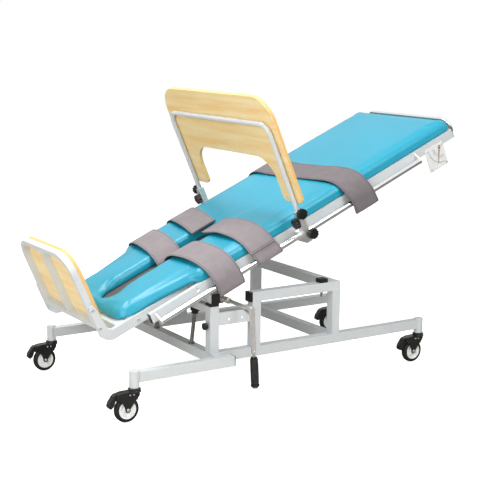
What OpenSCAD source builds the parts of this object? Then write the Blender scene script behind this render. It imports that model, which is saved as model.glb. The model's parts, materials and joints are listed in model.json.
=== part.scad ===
// Physiotherapy tilt table with crank drive, work tray, straps and footboard.
// +X points to the head end, +Y to the far side, +Z up, z = 0 is the floor.
// Pieces of the bed are drawn in bed coordinates: along the bed, across it, and up from its rails.

/* [Base frame] */
// Side of the square steel tubes
tube = 40; // [30:1:50]
// Wall of the steel tubes
tube_wall = 2; // [1.5:0.5:4]
// Width over the main frame
frame_w = 647; // [600:1:700]
// Width over the foot outriggers
leg_w = 807; // [780:1:900]
// Height of the underside of the lower rails
low_z = 149; // [140:1:170]
// Height of the underside of the upper rails
high_z = 377; // [360:1:380]
// Distance between the foot and head wheel contacts
wheelbase = 1465; // [1400:1:1600]
// Place of the foot wheels on the length axis
foot_x = -745; // [-800:1:-700]
// Foot wheel contact to the foot cross tube
foot_cross_d = 407; // [380:1:420]
// Foot wheel contact to the middle posts
middle_post_d = 608; // [590:1:680]
// Foot wheel contact to the head posts
head_post_d = 1010; // [950:1:1100]
// Length of the outrigger rails behind the foot cross tube
leg_tail = 28; // [10:1:60]
// Height of the bearer tube between the foot posts
bearer_h = 30; // [20:1:35]
// Height of the spacers under the pivot beam
spacer_h = 12; // [6:1:14]
// Offset of the pivot beam from the foot posts
beam_shift = 5; // [0:1:8]
// Length of the long caps on the upper rails
long_cap = 12; // [6:1:20]
// Thickness of the flat end caps
cap_t = 3; // [2:0.5:5]
// Gap between the drilled side plates and the middle posts
plate_gap = 11; // [4:1:30]
// Height of the drilled side plates
plate_h = 53; // [40:1:60]
// Foot of the side plates above the lower rails
plate_up = 110; // [90:1:120]
// Thickness of the side plates and brackets
plate_t = 5; // [3:0.5:8]
// Hole radius in the side plates
plate_hole_r = 5; // [3:0.5:7]

/* [Tilt] */
// Tilt of the bed in the rest pose
tilt = 23.5; // [0:0.5:80]
// Pivot to the foot face of the foot posts
pivot_back = 57; // [50:1:70]
// Gap between the pivot beam and the level bed rails
level_gap = 3.6; // [2:0.1:8]
// Radius of the pivot pins
pin_r = 8; // [5:0.5:9]
// Distance of the pivot from the foot end of the side rails
pivot_s = 224.2; // [200:1:260]

/* [Bed frame] */
// Width over the side rails
bed_w = 648; // [600:1:700]
// Length of the side rails
bed_l = 1637; // [1600:1:1700]
// Height of the bed rails and bars
rail_h = 40; // [30:1:50]
// Width of the bed rails and bars
rail_w = 20; // [15:1:25]
// Width over the leg bars
leg_bar_w = 524; // [480:1:540]
// Reach of the leg bars beyond the foot end of the side rails
leg_bar_out = 192; // [170:1:230]
// Height of the turned-up ends of the leg bars
leg_bar_up = 165; // [140:1:200]
// Outer radius of the bend in the leg bars
leg_bend = 48; // [42:1:60]
// Depth of the turned-up ends at the bend
turn_t = 38; // [30:1:42]

/* [Pad] */
// Length of the pad
pad_l = 1742; // [1700:1:1800]
// Overhang of the pad at the head end
pad_head_over = 13; // [0:1:20]
// Width of the pad
pad_w = 642; // [600:1:646]
// Thickness of the pad at its edge
pad_t = 48; // [40:1:60]
// Height of the crown in the middle
pad_crown = 4; // [0:1:10]
// Radius of the upper edge
pad_edge = 30; // [15:1:36]
// Length of the slot between the legs
slot_l = 570; // [500:1:600]
// Width of the slot between the legs
slot_w = 100; // [80:1:110]
// Thickness of the base board under the pad
base_t = 6; // [4:1:12]

/* [Footboard] */
// Height of the footboard frame
board_h = 317; // [280:1:340]
// Depth of the footboard frame and of the tips of the turned-up bars
frame_t = 25; // [20:1:30]
// Foot of the footboard frame above the bed frame
board_up = 68; // [50:1:80]
// Radius of the upper corners
board_r = 95; // [70:1:110]
// Thickness of the wooden boards
wood_t = 15; // [10:1:20]

/* [Accessory rails] */
// Radius of the chrome accessory rails
acc_r = 12.5; // [10:0.5:14]
// Distance from the side rails to the axis of the accessory rails
acc_out = 22; // [18:1:26]
// Foot end of the accessory rails
acc_from = 26; // [20:1:80]
// Head end of the accessory rails
acc_to = 1405; // [1380:1:1420]

/* [Tray] */
// Place of the tray along the bed
tray_s = 727; // [700:1:760]
// Distance between the tray posts
tray_w = 780; // [770:1:800]
// Radius of the tray tube
tray_r = 10; // [8:0.5:12]
// Height of the top bar of the tray tube
tray_h = 500; // [450:1:520]
// Radius of the bends in the tray tube
tray_bend = 50; // [40:1:70]
// Width of the tray board
tray_board_w = 856; // [840:1:880]
// Height of the top edge of the tray board
tray_top = 614; // [590:1:640]
// Height of the arm ends of the tray board
tray_foot = 149; // [145:1:180]
// Width of the cut-out
cut_w = 600; // [560:1:620]
// Height of the cut-out's top edge
cut_top = 340; // [320:1:380]
// Corner radius of the tray board
tray_corner = 110; // [90:1:125]
// Radius of the hand knobs
knob_r = 22.5; // [18:0.5:24]
// Depth of the hand knobs
knob_t = 18; // [14:1:20]

/* [Straps] */
// Width of the straps
strap_w = 125; // [100:1:130]
// Thickness of the straps
strap_t = 6; // [4:0.5:7]
// Middle of the near shin strap along the bed
shin_near_s = 336; // [320:1:350]
// Middle of the far shin strap along the bed
shin_far_s = 325; // [310:1:350]
// Middle of the near thigh strap along the bed
thigh_near_s = 541; // [530:1:550]
// Middle of the far thigh strap along the bed
thigh_far_s = 505; // [495:1:540]
// Middle of the chest strap along the bed
chest_s = 1055; // [1000:1:1100]

/* [Casters] */
// Radius of the wheels
wheel_r = 50; // [45:1:52]
// Width of the tyres
wheel_w = 24; // [18:1:28]
// Distance from the swivel axis to the axle
trail = 35; // [25:1:40]
// Height of a caster to its socket
caster_h = 129; // [125:1:135]
// Distance from the middle of a rail to the swivel axis of its caster
socket_out = 9; // [5:0.5:12]
// Radius of the caster sockets
socket_r = 19; // [16:0.5:20]

/* [Drive] */
// Foot post to the crank axis
crank_d = 123; // [110:1:130]
// Height of the crank axis
crank_z = 380; // [370:1:390]
// Distance of the crank arm from the middle plane
crank_y = 437; // [435:1:470]
// Length of the crank arm
arm_l = 175; // [150:1:180]
// Lean of the crank arm
arm_lean = 3.5; // [0:0.5:15]
// Length of the grip
grip_l = 123; // [110:1:150]
// Radius of the grip
grip_r = 14.5; // [10:0.5:16]
// Distance of the lifting screw from the middle plane
jack_y = 147; // [130:1:160]
// Radius of the lifting screw
screw_r = 9; // [7:0.5:10]
// Height of the screw's upper pin above the underside of the bed rails
eye_h = 12; // [10:1:14]

/* [Gauge] */
// Side of the gauge plate
gauge = 108; // [100:1:115]
// Place of the middle of the gauge along the bed
gauge_s = 1515; // [1490:1:1540]
// Distance of the middle of the gauge below the underside of the rails
gauge_low = 37; // [30:1:40]

/* [Hidden] */
$fn = 48;

// Clearances: overrun of cuts, running fit, gap of soft pieces, gap beside moving pieces
over = 1;
fit = 0.06;
soft_gap = 0.3;
run_gap = 0.5;

// Places of the base
post_set = 2;
post_over = 2;
cross_x = foot_x + foot_cross_d;
post_x = cross_x + post_set;
middle_x = foot_x + middle_post_d;
head_x = foot_x + head_post_d;
low_top = low_z + tube;
high_top = high_z + tube;
post_top = high_z + post_over;
beam_z = post_top + spacer_h;
beam_x = post_x + beam_shift;
foot_socket_x = foot_x + trail;
head_socket_x = foot_x + wheelbase + trail;
foot_track = leg_w - tube + 2 * socket_out;
head_track = frame_w - tube + 2 * socket_out;
socket_h = 67;

// Places of the tilt axis and of the bed
pivot_n = rail_h / 2;
pivot_x = post_x - pivot_back;
pivot_z = beam_z + tube + level_gap + pivot_n;
hinge_t = 8;
pin_in = bed_w / 2 - rail_w - 2 * hinge_t;
hinge_r = 17;

// Places of the drive; the eye is as far from the tilt axis as the crank axis
crank_x = cross_x + crank_d;
jack_reach = norm([crank_x - pivot_x, crank_z - pivot_z]);
eye_s = pivot_s + sqrt(pow(jack_reach, 2) - pow(eye_h - pivot_n, 2));
eye_angle = atan2(eye_h - pivot_n, eye_s - pivot_s) + tilt;
eye_x = pivot_x + jack_reach * cos(eye_angle);
eye_z = pivot_z + jack_reach * sin(eye_angle);
jack_lean = atan2(eye_x - crank_x, eye_z - crank_z);
jack_length = norm([eye_x - crank_x, eye_z - crank_z]);
eye_pin_r = 5;
eye_wall = 5;
eye_play_down = 10.3;
eye_play_up = 4.2;
eye_t = 18;
screw_below = 181;
house = 64;
house_t = 50;
shaft_r = 8;
screw_clear = 3;
shaft_in = screw_r + screw_clear;
bearing_out = 56;

module both_sides() {
    children();
    mirror([0, 1, 0]) children();
}

// Carries pieces from bed coordinates to the tilted bed
module on_bed() {
    translate([pivot_x, 0, pivot_z]) rotate([0, -tilt, 0]) translate([-pivot_s, 0, -pivot_n]) children();
}

// Lays an outline drawn across and up into the plane across the bed, thick along the bed
module across(t) {
    rotate([90, 0, 90]) linear_extrude(t) children();
}

// Lays an outline drawn along and up into the side plane, thick toward the far side from y = 0
module along(t) {
    translate([0, t, 0]) rotate([90, 0, 0]) linear_extrude(t) children();
}

// Rectangular tube, open along one axis
module box_tube(size, axis, wall = tube_wall) {
    bore = [for (i = [0:2]) i == axis ? size[i] + 2 * over : size[i] - 2 * wall];
    start = [for (i = [0:2]) i == axis ? -over : wall];
    difference() {
        cube(size);
        translate(start) cube(bore);
    }
}

module post(x, y, z_from, z_to) {
    translate([x, y, z_from]) box_tube([tube, tube, z_to - z_from], 2);
}

// Outline with a flat foot and two round upper corners
module arch(w, h, r) {
    translate([-w / 2, 0]) square([w, h - r]);
    translate([-w / 2 + r, 0]) square([w - 2 * r, h]);
    for (side = [-1, 1]) translate([side * (w / 2 - r), h - r]) circle(r);
}

// Round bar from one point to another
function aim(v) = [0, acos(v[2] / norm(v)), atan2(v[1], v[0])];
module bar(a, b, r) {
    translate(a) rotate(aim(b - a)) cylinder(r = r, h = norm(b - a));
}

// Base

side_y = frame_w / 2 - tube;
leg_y = leg_w / 2 - tube;

module leg_rails() {
    color("#cfd2d4") both_sides() difference() {
        translate([foot_socket_x, leg_y, low_z])
            box_tube([cross_x + tube + leg_tail - foot_socket_x, tube, tube], 0);
        translate([foot_socket_x, foot_track / 2, low_z - over])
            cylinder(r = socket_r + fit, h = tube + 2 * over);
    }
}

module lower_rails() {
    color("#cfd2d4") both_sides() difference() {
        translate([cross_x + tube, side_y, low_z]) box_tube([head_socket_x - cross_x - tube, tube, tube], 0);
        translate([head_socket_x, head_track / 2, low_z - over])
            cylinder(r = socket_r + fit, h = tube + 2 * over);
    }
}

module cross_tubes() {
    color("#cfd2d4") {
        translate([cross_x, -leg_y, low_z]) box_tube([tube, 2 * leg_y, tube], 1);
        translate([head_x, -side_y, low_z]) box_tube([tube, 2 * side_y, tube], 1);
        translate([head_x, -side_y, high_z]) box_tube([tube, 2 * side_y, tube], 1);
        translate([post_x, -side_y, post_top - bearer_h]) box_tube([tube, 2 * side_y, bearer_h], 1);
    }
}

module posts() {
    color("#cfd2d4") both_sides() {
        post(post_x, side_y, low_top, post_top);
        post(middle_x, side_y, low_top, high_z);
        post(head_x, side_y, low_top, high_z);
    }
}

module upper_rails() {
    color("#cfd2d4") both_sides()
        translate([middle_x, side_y, high_z]) box_tube([head_x + tube - middle_x, tube, tube], 0);
}

module pivot_beam() {
    color("#cfd2d4") translate([beam_x, cap_t - frame_w / 2, beam_z])
        box_tube([tube, frame_w - 2 * cap_t, tube], 1);
}

module frame_caps() {
    color("#222222") both_sides() {
        translate([cross_x + tube + leg_tail, leg_y, low_z]) cube([cap_t, tube, tube]);
        translate([middle_x - long_cap, side_y, high_z]) cube([long_cap, tube, tube]);
        translate([beam_x, frame_w / 2 - cap_t, beam_z]) cube([tube, cap_t, tube]);
        translate([post_x, side_y, post_top]) cube([tube, tube, spacer_h]);
    }
}

plate_hole_shares = [[0.324, 0.39], [0.747, 0.4]];
plate_cut = 34;
plate_l = middle_x - post_x - tube - plate_gap;
module side_plates() {
    outline = [[0, 0], [plate_l, 0], [plate_l, plate_h - plate_cut], [plate_l - plate_cut, plate_h],
        [0, plate_h]];
    color("#c6c9cb") both_sides() translate([post_x + tube, frame_w / 2 - plate_t, low_top + plate_up])
        difference() {
            along(plate_t) polygon(outline);
            for (share = plate_hole_shares)
                translate([share[0] * plate_l, -over, share[1] * plate_h]) rotate([-90, 0, 0])
                    cylinder(r = plate_hole_r, h = plate_t + 2 * over);
        }
}

// Plates that carry the pivot pins, and the two bearing plates of the crank shaft
bearing_ys = [-jack_y - house_t / 2 - 3 * plate_t, -jack_y + house_t / 2 + 2 * plate_t];
bearing_pin_r = 6;
module hinge_brackets() {
    color("#bfc2c4") {
        both_sides() difference() {
            translate([0, pin_in, 0]) along(hinge_t) {
                translate([pivot_x, pivot_z]) circle(hinge_r);
                polygon([[pivot_x - hinge_r, pivot_z], [beam_x, beam_z], [beam_x, beam_z + tube],
                    [pivot_x + hinge_r, pivot_z]]);
            }
            translate([pivot_x, pin_in - over, pivot_z]) rotate([-90, 0, 0])
                cylinder(r = pin_r + fit, h = hinge_t + 2 * over);
        }
        difference() {
            for (y = bearing_ys) translate([0, y, 0]) along(plate_t) {
                translate([crank_x, crank_z]) circle(bearing_out / 3);
                translate([post_x + tube, post_top - bearer_h])
                    square([crank_x - post_x - tube, crank_z - post_top + bearer_h + shaft_r]);
            }
            translate([crank_x, bearing_ys[0] - over, crank_z]) rotate([-90, 0, 0])
                cylinder(r = shaft_r + fit, h = plate_t + 2 * over);
        }
        translate([crank_x, -jack_y + house_t / 3, crank_z]) rotate([-90, 0, 0])
            cylinder(r = bearing_pin_r, h = bearing_ys[1] + jack_y - house_t / 3);
    }
}

stem_r = 6;
stem_l = 62;
module caster_socket(x, y) {
    translate([x, y, caster_h + run_gap]) difference() {
        cylinder(r = socket_r, h = socket_h);
        translate([0, 0, -over]) cylinder(r = stem_r + fit, h = stem_l + 2 * over);
    }
}
module caster_sockets() {
    color("#cfd2d4") both_sides() {
        caster_socket(foot_socket_x, foot_track / 2);
        caster_socket(head_socket_x, head_track / 2);
    }
}

// Rubber buffers on which the level bed rests, with a stud through the rail
buffer_l = 37;
buffer_d = 338;
stud_r = 4;
nut_r = 8;
nut_h = 7;
stud_down = 22;
module buffers() {
    buffer_h = pivot_z - pivot_n - high_top - run_gap;
    color("#1c1c1c") both_sides()
        translate([middle_x + buffer_d, side_y + cap_t, high_top]) cube([buffer_l, tube - cap_t, buffer_h]);
}

rod_r = 8;
rod_l = 122;
rod_lean = 7;
rod_y = 150;
rod_in = 15;
rod_x = cross_x + rod_in;
collar_r = 13;
collar_h = 10;
module at_rod(y) {
    translate([rod_x, y, low_top + collar_h / 2]) rotate([0, rod_lean, 0]) children();
}
module stop_rods() {
    color("#b9bcbe") both_sides() {
        at_rod(rod_y) cylinder(r = rod_r, h = rod_l);
        translate([rod_x, rod_y, low_top]) cylinder(r = collar_r, h = collar_h);
        translate([middle_x + buffer_d + buffer_l / 2, side_y + tube / 2, high_z - stud_down])
            cylinder(r = stud_r, h = stud_down);
        translate([middle_x + buffer_d + buffer_l / 2, side_y + tube / 2, high_z - nut_h])
            cylinder(r = nut_r, h = nut_h, $fn = 6);
    }
}

stop_r = 20;
stop_h = 30;
module stop_caps() {
    color("#1c1c1c") both_sides() at_rod(rod_y) translate([0, 0, rod_l])
        rotate_extrude() {
            square([stop_r * 0.7, stop_h * 0.5]);
            translate([0, stop_h * 0.4]) square([stop_r, stop_h * 0.35]);
            intersection() {
                translate([0, stop_h * 0.75]) circle(stop_r);
                translate([0, stop_h * 0.75]) square([stop_r, stop_h * 0.25]);
            }
        }
}

post_knob_r = 14.5;
post_knob_t = 13;
post_knob_neck = 7;
post_knob_z = 110;
module post_knob() {
    color("#1c1c1c") translate([post_x - run_gap, -side_y - tube / 2, low_top + post_knob_z])
        rotate([0, -90, 0]) {
            cylinder(r = stud_r, h = post_knob_neck);
            translate([0, 0, post_knob_neck]) cylinder(r = post_knob_r, h = post_knob_t);
        }
}

// Bed frame

rail_y = bed_w / 2 - rail_w;
module side_rails() {
    color("#cfd2d4") on_bed() both_sides() difference() {
        translate([0, rail_y, 0]) box_tube([bed_l, rail_w, rail_h], 0);
        translate([pivot_s, rail_y - over, pivot_n]) rotate([-90, 0, 0])
            cylinder(r = pin_r + fit, h = rail_w + 2 * over);
    }
}

module side_rail_caps() {
    color("#222222") on_bed() both_sides() for (s = [-cap_t, bed_l])
        translate([s, rail_y, 0]) cube([cap_t, rail_w, rail_h]);
}

module pivot_pins() {
    color("#a8abad") both_sides() translate([pivot_x, pin_in, pivot_z]) rotate([-90, 0, 0])
        cylinder(r = pin_r, h = bed_w / 2 - pin_in);
}

// Cross tubes of the bed; the jack tube carries the two lugs of the lifting screw
eye_to_tube = 23;
jack_tube_s = eye_s + eye_to_tube;
body_tube_shares = [0.55, 0.75];
stop_tube_s = 74;
leg_tube_s = -115;
bar_y = leg_bar_w / 2 - rail_w;
lug_t = 6;
module bed_tube(s, n, half) {
    translate([s, -half, n]) box_tube([tube, 2 * half, rail_h], 1);
}
module bed_cross_tubes() {
    lug_r = eye_pin_r + eye_wall;
    color("#c2c5c7") on_bed() {
        for (share = body_tube_shares) bed_tube(share * bed_l, 0, rail_y);
        bed_tube(jack_tube_s, 0, rail_y);
        bed_tube(bed_l - tube, 0, rail_y);
        bed_tube(stop_tube_s, -rail_h, leg_bar_w / 2);
        bed_tube(leg_tube_s, 0, bar_y);
        for (y = [-jack_y - eye_t / 2 - run_gap - lug_t, -jack_y + eye_t / 2 + run_gap])
            translate([0, y, 0]) along(lug_t) {
                translate([eye_s, eye_h]) circle(lug_r);
                translate([eye_s, eye_h - lug_r]) square([jack_tube_s - eye_s, 2 * lug_r]);
            }
        translate([eye_s, -jack_y - eye_t / 2 - run_gap, eye_h]) rotate([-90, 0, 0])
            cylinder(r = eye_pin_r, h = eye_t + 2 * run_gap);
    }
}

bend_in = 10;
module leg_bar_outline() {
    foot_s = -leg_bar_out;
    up_s = foot_s + turn_t;
    tip_n = leg_bar_up - frame_t / 2;
    translate([foot_s + leg_bend, 0]) square([jack_tube_s - foot_s - leg_bend, rail_h]);
    polygon([[foot_s, leg_bend], [up_s, leg_bend], [up_s, rail_h + bend_in], [foot_s + frame_t, tip_n],
        [foot_s, tip_n]]);
    translate([foot_s + frame_t / 2, tip_n]) circle(frame_t / 2);
    intersection() {
        translate([foot_s + leg_bend, leg_bend]) circle(leg_bend);
        translate([foot_s, 0]) square([leg_bend, leg_bend]);
    }
    difference() {
        translate([up_s, rail_h]) square(bend_in);
        translate([up_s + bend_in, rail_h + bend_in]) circle(bend_in);
    }
}
module leg_bars() {
    color("#cfd2d4") on_bed() both_sides() translate([0, bar_y, 0]) along(rail_w) leg_bar_outline();
}

// Footboard

frame_bar = 20;
frame_foot = 22;
module footboard_frame() {
    w = 2 * bar_y;
    color("#cfd2d4") on_bed() translate([-leg_bar_out, 0, board_up]) across(frame_t) {
        difference() {
            arch(w, board_h, board_r);
            translate([0, frame_foot])
                arch(w - 2 * frame_bar, board_h - frame_foot - frame_bar, board_r - frame_bar);
        }
        translate([-frame_bar / 2, frame_foot]) square([frame_bar, board_h - frame_foot - frame_bar]);
    }
}

panel_in = 0.5;
panel_rise = 4;
module footboard_panel() {
    color("#f0cf94") on_bed() translate([frame_t - leg_bar_out, 0, board_up + panel_rise]) across(wood_t)
        arch(2 * (bar_y - panel_in), board_h - panel_rise, board_r);
}

// Cap screws: places along the leg bars and up, then those that hold the gauge
screw_head_r = 6;
screw_head_h = 4;
bar_screw_shares = [[-0.95, 0.91], [-0.95, 0.43], [-0.15, 0.12], [0.1, 0.12], [0.9, 0.12], [1.35, 0.12]];
gauge_t = 4;
gauge_pitch = 87;
gauge_screw_r = 4;
module bed_screws() {
    color("#8f9294") on_bed() {
        both_sides() for (share = bar_screw_shares)
            translate([share[0] * leg_bar_out, leg_bar_w / 2, share[1] * leg_bar_up]) rotate([-90, 0, 0])
                cylinder(r = screw_head_r, h = screw_head_h);
        for (ds = [-1, 1], dn = [-1, 1])
            translate([gauge_s + ds * gauge_pitch / 2, -bed_w / 2 - gauge_t,
                dn * gauge_pitch / 2 - gauge_low]) rotate([90, 0, 0])
                    cylinder(r = gauge_screw_r, h = screw_head_h / 2);
    }
}

// Pad: a closed band of sections round the slot, each from the outer outline to the slot
// Near half of the outline from the head end to the foot end, in shares of the length and the half width
pad_plan_shares = [[1, 0], [1, 0.35], [1, 0.7], [1, 0.95], [0.996, 0.985], [0.99, 1], [0.85, 1], [0.7, 1],
    [0.55, 1], [0.46, 1], [0.38, 1], [0.3, 1], [0.25, 1], [0.205, 1], [0.196, 0.98], [0.186, 0.93],
    [0.17, 0.888], [0.09, 0.81], [0.025, 0.777], [0.01, 0.755], [0.003, 0.72], [0, 0.66], [0, 0.4],
    [0, 0.18], [0, 0]];
// Height of the pad at shares of its length, and of the slot's edge, in shares of its thickness
pad_rise_shares = [[0, 0.88], [0.16, 0.9], [0.24, 1], [1, 1]];
slot_rise_shares = [[0, 0.62], [0.03, 0.64], [0.09, 0.88], [0.16, 0.9], [0.24, 0.98], [0.36, 0.95],
    [0.4, 0.9]];
pad_steps = 4;
pad_draw = 4;
base_in = 14;
slot_edge = 20;
slot_back = 55;
pad_n = rail_h + soft_gap;
pad_from = bed_l + pad_head_over - pad_l;
slot_ends = [pad_from + slot_back + slot_w / 2, pad_from + slot_back + slot_l - slot_w / 2];
pad_half_outline = [for (p = pad_plan_shares) [pad_from + p[0] * pad_l, -p[1] * pad_w / 2]];
pad_outline = concat(pad_half_outline,
    [for (i = [len(pad_half_outline) - 2:-1:1]) [pad_half_outline[i][0], -pad_half_outline[i][1]]]);
function unit(v) = v / norm(v);
function slot_middle(p) = [min(max(p[0], slot_ends[0]), slot_ends[1]), 0];
function pad_section(i) =
    let (n = len(pad_outline), p = pad_outline[i],
        d = unit(pad_outline[(i + 1) % n] - pad_outline[(i + n - 1) % n]),
        inward = [d[1], -d[0]], middle = slot_middle(p), away = unit(p - middle),
        share = (p[0] - pad_from) / pad_l, h = pad_t * lookup(share, pad_rise_shares),
        edge_share = (middle[0] + away[0] * slot_w / 2 - pad_from) / pad_l,
        slot_h = pad_t * lookup(edge_share, slot_rise_shares),
        q = middle + away * slot_w / 2, p_top = p + inward * pad_edge, q_top = q + away * slot_edge)
    concat([[p + inward * pad_draw, 0]],
        [for (j = [0:pad_steps]) let (a = 90 * j / pad_steps)
            [p + inward * pad_edge * (1 - cos(a)), h - pad_edge * (1 - sin(a))]],
        [for (f = [0.33, 0.7]) let (m = p_top * (1 - f) + q_top * f)
            [m, h * (1 - f) + slot_h * f
                + pad_crown * (1 - pow(m[1] / (pad_w / 2), 2)) * min(1, norm(p - q) / pad_w)]],
        [for (j = [pad_steps - 1:-1:0]) let (a = 90 * j / (pad_steps - 1))
            [q + away * slot_edge * (1 - cos(a)), slot_h - slot_edge * (1 - sin(a))]],
        [[q, base_t + soft_gap], [p + inward * base_in, base_t + soft_gap], [p + inward * base_in, 0]]);
function section_points(section) = [for (p = section) [p[0][0], p[0][1], pad_n + p[1]]];
// Closed band through rings of points, the last ring joined to the first
module ring_band(rings) {
    m = len(rings[0]);
    n = len(rings);
    polyhedron([for (r = rings) each r], [for (r = [0:n - 1], j = [0:m - 1]) each
        let (next = (r + 1) % n, a = r * m + j, b = r * m + (j + 1) % m, c = next * m + j,
            d = next * m + (j + 1) % m) [[a, c, d], [a, d, b]]]);
}
module pad() {
    color("#52bfdd") on_bed()
        ring_band([for (i = [0:len(pad_outline) - 1]) section_points(pad_section(i))]);
}

module pad_base() {
    n = len(pad_outline);
    color("#8a8783") on_bed() translate([0, 0, pad_n]) linear_extrude(base_t)
        polygon([for (i = [0:n - 1]) let (d = unit(pad_outline[(i + 1) % n] - pad_outline[(i + n - 1) % n]))
            pad_outline[i] + [d[1], -d[0]] * (base_in + soft_gap)]);
}

// Accessory rails

acc_y = bed_w / 2 + acc_out;
acc_wall = 2;
module accessory_rails() {
    color("#c9cccf") on_bed() both_sides() translate([acc_from, acc_y, 0]) rotate([0, 90, 0]) difference() {
        cylinder(r = acc_r, h = acc_to - acc_from);
        translate([0, 0, -over]) cylinder(r = acc_r - acc_wall, h = acc_to - acc_from + 2 * over);
    }
}
bracket_t = 6;
bracket_over = 1;
bracket_r = acc_r + bracket_over;
bracket_foot = rail_h * 0.05;
bracket_head = rail_h * 0.85;
// Where the plate's slanted edge touches its round end
bracket_angle = atan2(bracket_head, -acc_out) - acos(bracket_r / norm([acc_out, bracket_head]));
module rail_brackets() {
    color("#b9bcbe") on_bed() both_sides() for (s = [acc_from - bracket_t, acc_to])
        translate([s, bed_w / 2, 0]) across(bracket_t) {
            translate([acc_out, 0]) circle(bracket_r);
            polygon([[0, bracket_foot], [acc_out, -bracket_r],
                [acc_out + bracket_r * cos(bracket_angle), bracket_r * sin(bracket_angle)], [0, bracket_head]]);
        }
}

// Push handle at the head end
handle_r = 8.5;
handle_bend = 40;
handle_out = 28;
handle_s = bed_l + cap_t + handle_out;
handle_h = 66;
handle_y = 282;
module push_handle() {
    leg_n = handle_h - handle_bend;
    color("#c9cccf") on_bed() {
        bar([handle_s, handle_bend - handle_y, handle_h], [handle_s, handle_y - handle_bend, handle_h],
            handle_r);
        both_sides() {
            translate([handle_s, handle_y - handle_bend, leg_n]) rotate([90, 0, 90])
                rotate_extrude(angle = 90) translate([handle_bend, 0]) circle(handle_r);
            bar([handle_s, handle_y, rail_h / 2 - handle_r], [handle_s, handle_y, leg_n], handle_r);
            bar([bed_l, handle_y, rail_h / 2], [handle_s, handle_y, rail_h / 2], handle_r);
        }
    }
}

// Angle gauge
needle_off = 27;
needle_s = gauge_s + needle_off;
needle_pin_r = 2;
needle_pin_l = 5;
module gauge_plate() {
    color("#f4f4f2") on_bed() translate([0, -bed_w / 2, 0]) {
        translate([gauge_s - gauge / 2, -gauge_t, -gauge_low - gauge / 2]) cube([gauge, gauge_t, gauge]);
        translate([needle_s, -gauge_t, 0]) rotate([90, 0, 0]) cylinder(r = needle_pin_r, h = needle_pin_l);
    }
}
needle_hub_r = 7;
needle_t = 1.5;
needle_thick_l = 37;
needle_l = 71;
needle_w = 4;
needle_tip_w = 1.6;
module gauge_needle() {
    hub = [needle_s - pivot_s, -pivot_n];
    x = pivot_x + hub[0] * cos(tilt) - hub[1] * sin(tilt);
    z = pivot_z + hub[0] * sin(tilt) + hub[1] * cos(tilt);
    color("#1c1c1c") translate([x, -bed_w / 2 - gauge_t - run_gap - needle_t, z]) difference() {
        along(needle_t) {
            circle(needle_hub_r);
            translate([-needle_w / 2, -needle_thick_l]) square([needle_w, needle_thick_l]);
            translate([-needle_tip_w / 2, -needle_l]) square([needle_tip_w, needle_l]);
        }
        translate([0, -over, 0]) rotate([-90, 0, 0])
            cylinder(r = needle_pin_r + fit, h = needle_t + 2 * over);
    }
}

// Straps: a bent band, its middle line in shares of the reach and of the pad's height

strap_reach = acc_y + acc_r + strap_t / 2 + soft_gap;
strap_top = pad_n + pad_t;
shin_start_shares = [[0.02, 0.57], [0.045, 0.78], [0.12, 1.02]];
thigh_start_shares = [[0.055, 1.09], [0.13, 1.12]];
leg_band_shares = [[0.24, 1.2], [0.4, 1.28], [0.56, 1.28], [0.7, 1.22], [0.84, 1.07], [0.94, 0.8],
    [0.985, 0.45], [1, 0.1]];
shin_end_shares = [[1, -0.5]];
thigh_end_shares = [[1, -0.08], [0.99, -0.16], [0.962, -0.215]];
chest_band_shares = [[-1, -0.55], [-1, 0.1], [-0.985, 0.45], [-0.94, 0.8], [-0.84, 1.08], [-0.66, 1.19],
    [-0.4, 1.17], [0, 1.15], [0.4, 1.17], [0.66, 1.19], [0.84, 1.08], [0.94, 0.8], [0.985, 0.45], [1, 0.1],
    [1, -0.25]];
function band_points(shares) = [for (p = shares) [p[0] * strap_reach, p[1] * strap_top]];
function side_of(points, i) =
    let (d = unit(points[min(i + 1, len(points) - 1)] - points[max(i - 1, 0)])) [-d[1], d[0]];
module band(points, s, w) {
    n = len(points);
    edge = concat([for (i = [0:n - 1]) points[i] + side_of(points, i) * strap_t / 2],
        [for (i = [n - 1:-1:0]) points[i] - side_of(points, i) * strap_t / 2]);
    translate([s - w / 2, 0, 0]) across(w) polygon(edge);
}
module shin_straps() {
    points = band_points(concat(shin_start_shares, leg_band_shares, shin_end_shares));
    color("#a09aa0") on_bed() {
        mirror([0, 1, 0]) band(points, shin_near_s, strap_w);
        band(points, shin_far_s, strap_w);
    }
}
module thigh_straps() {
    points = band_points(concat(thigh_start_shares, leg_band_shares, thigh_end_shares));
    color("#a09aa0") on_bed() {
        mirror([0, 1, 0]) band(points, thigh_near_s, strap_w);
        band(points, thigh_far_s, strap_w);
    }
}
module chest_strap() {
    color("#8f868c") on_bed() band(band_points(chest_band_shares), chest_s, strap_w);
}

// Drive

module at_jack() {
    translate([crank_x, -jack_y, crank_z]) rotate([0, jack_lean, 0]) children();
}
module jack_housing() {
    color("#8a8d90") at_jack() difference() {
        translate([-house / 2, -house_t / 2, -house / 2]) cube([house, house_t, house]);
        translate([0, 0, -house / 2 - over]) cylinder(r = screw_r + fit, h = house + 2 * over);
        translate([0, over - shaft_in, 0]) rotate([90, 0, 0]) cylinder(r = shaft_r + fit, h = house_t);
        translate([0, house_t / 3 - over, 0]) rotate([-90, 0, 0])
            cylinder(r = bearing_pin_r + fit, h = house_t);
    }
}

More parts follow.
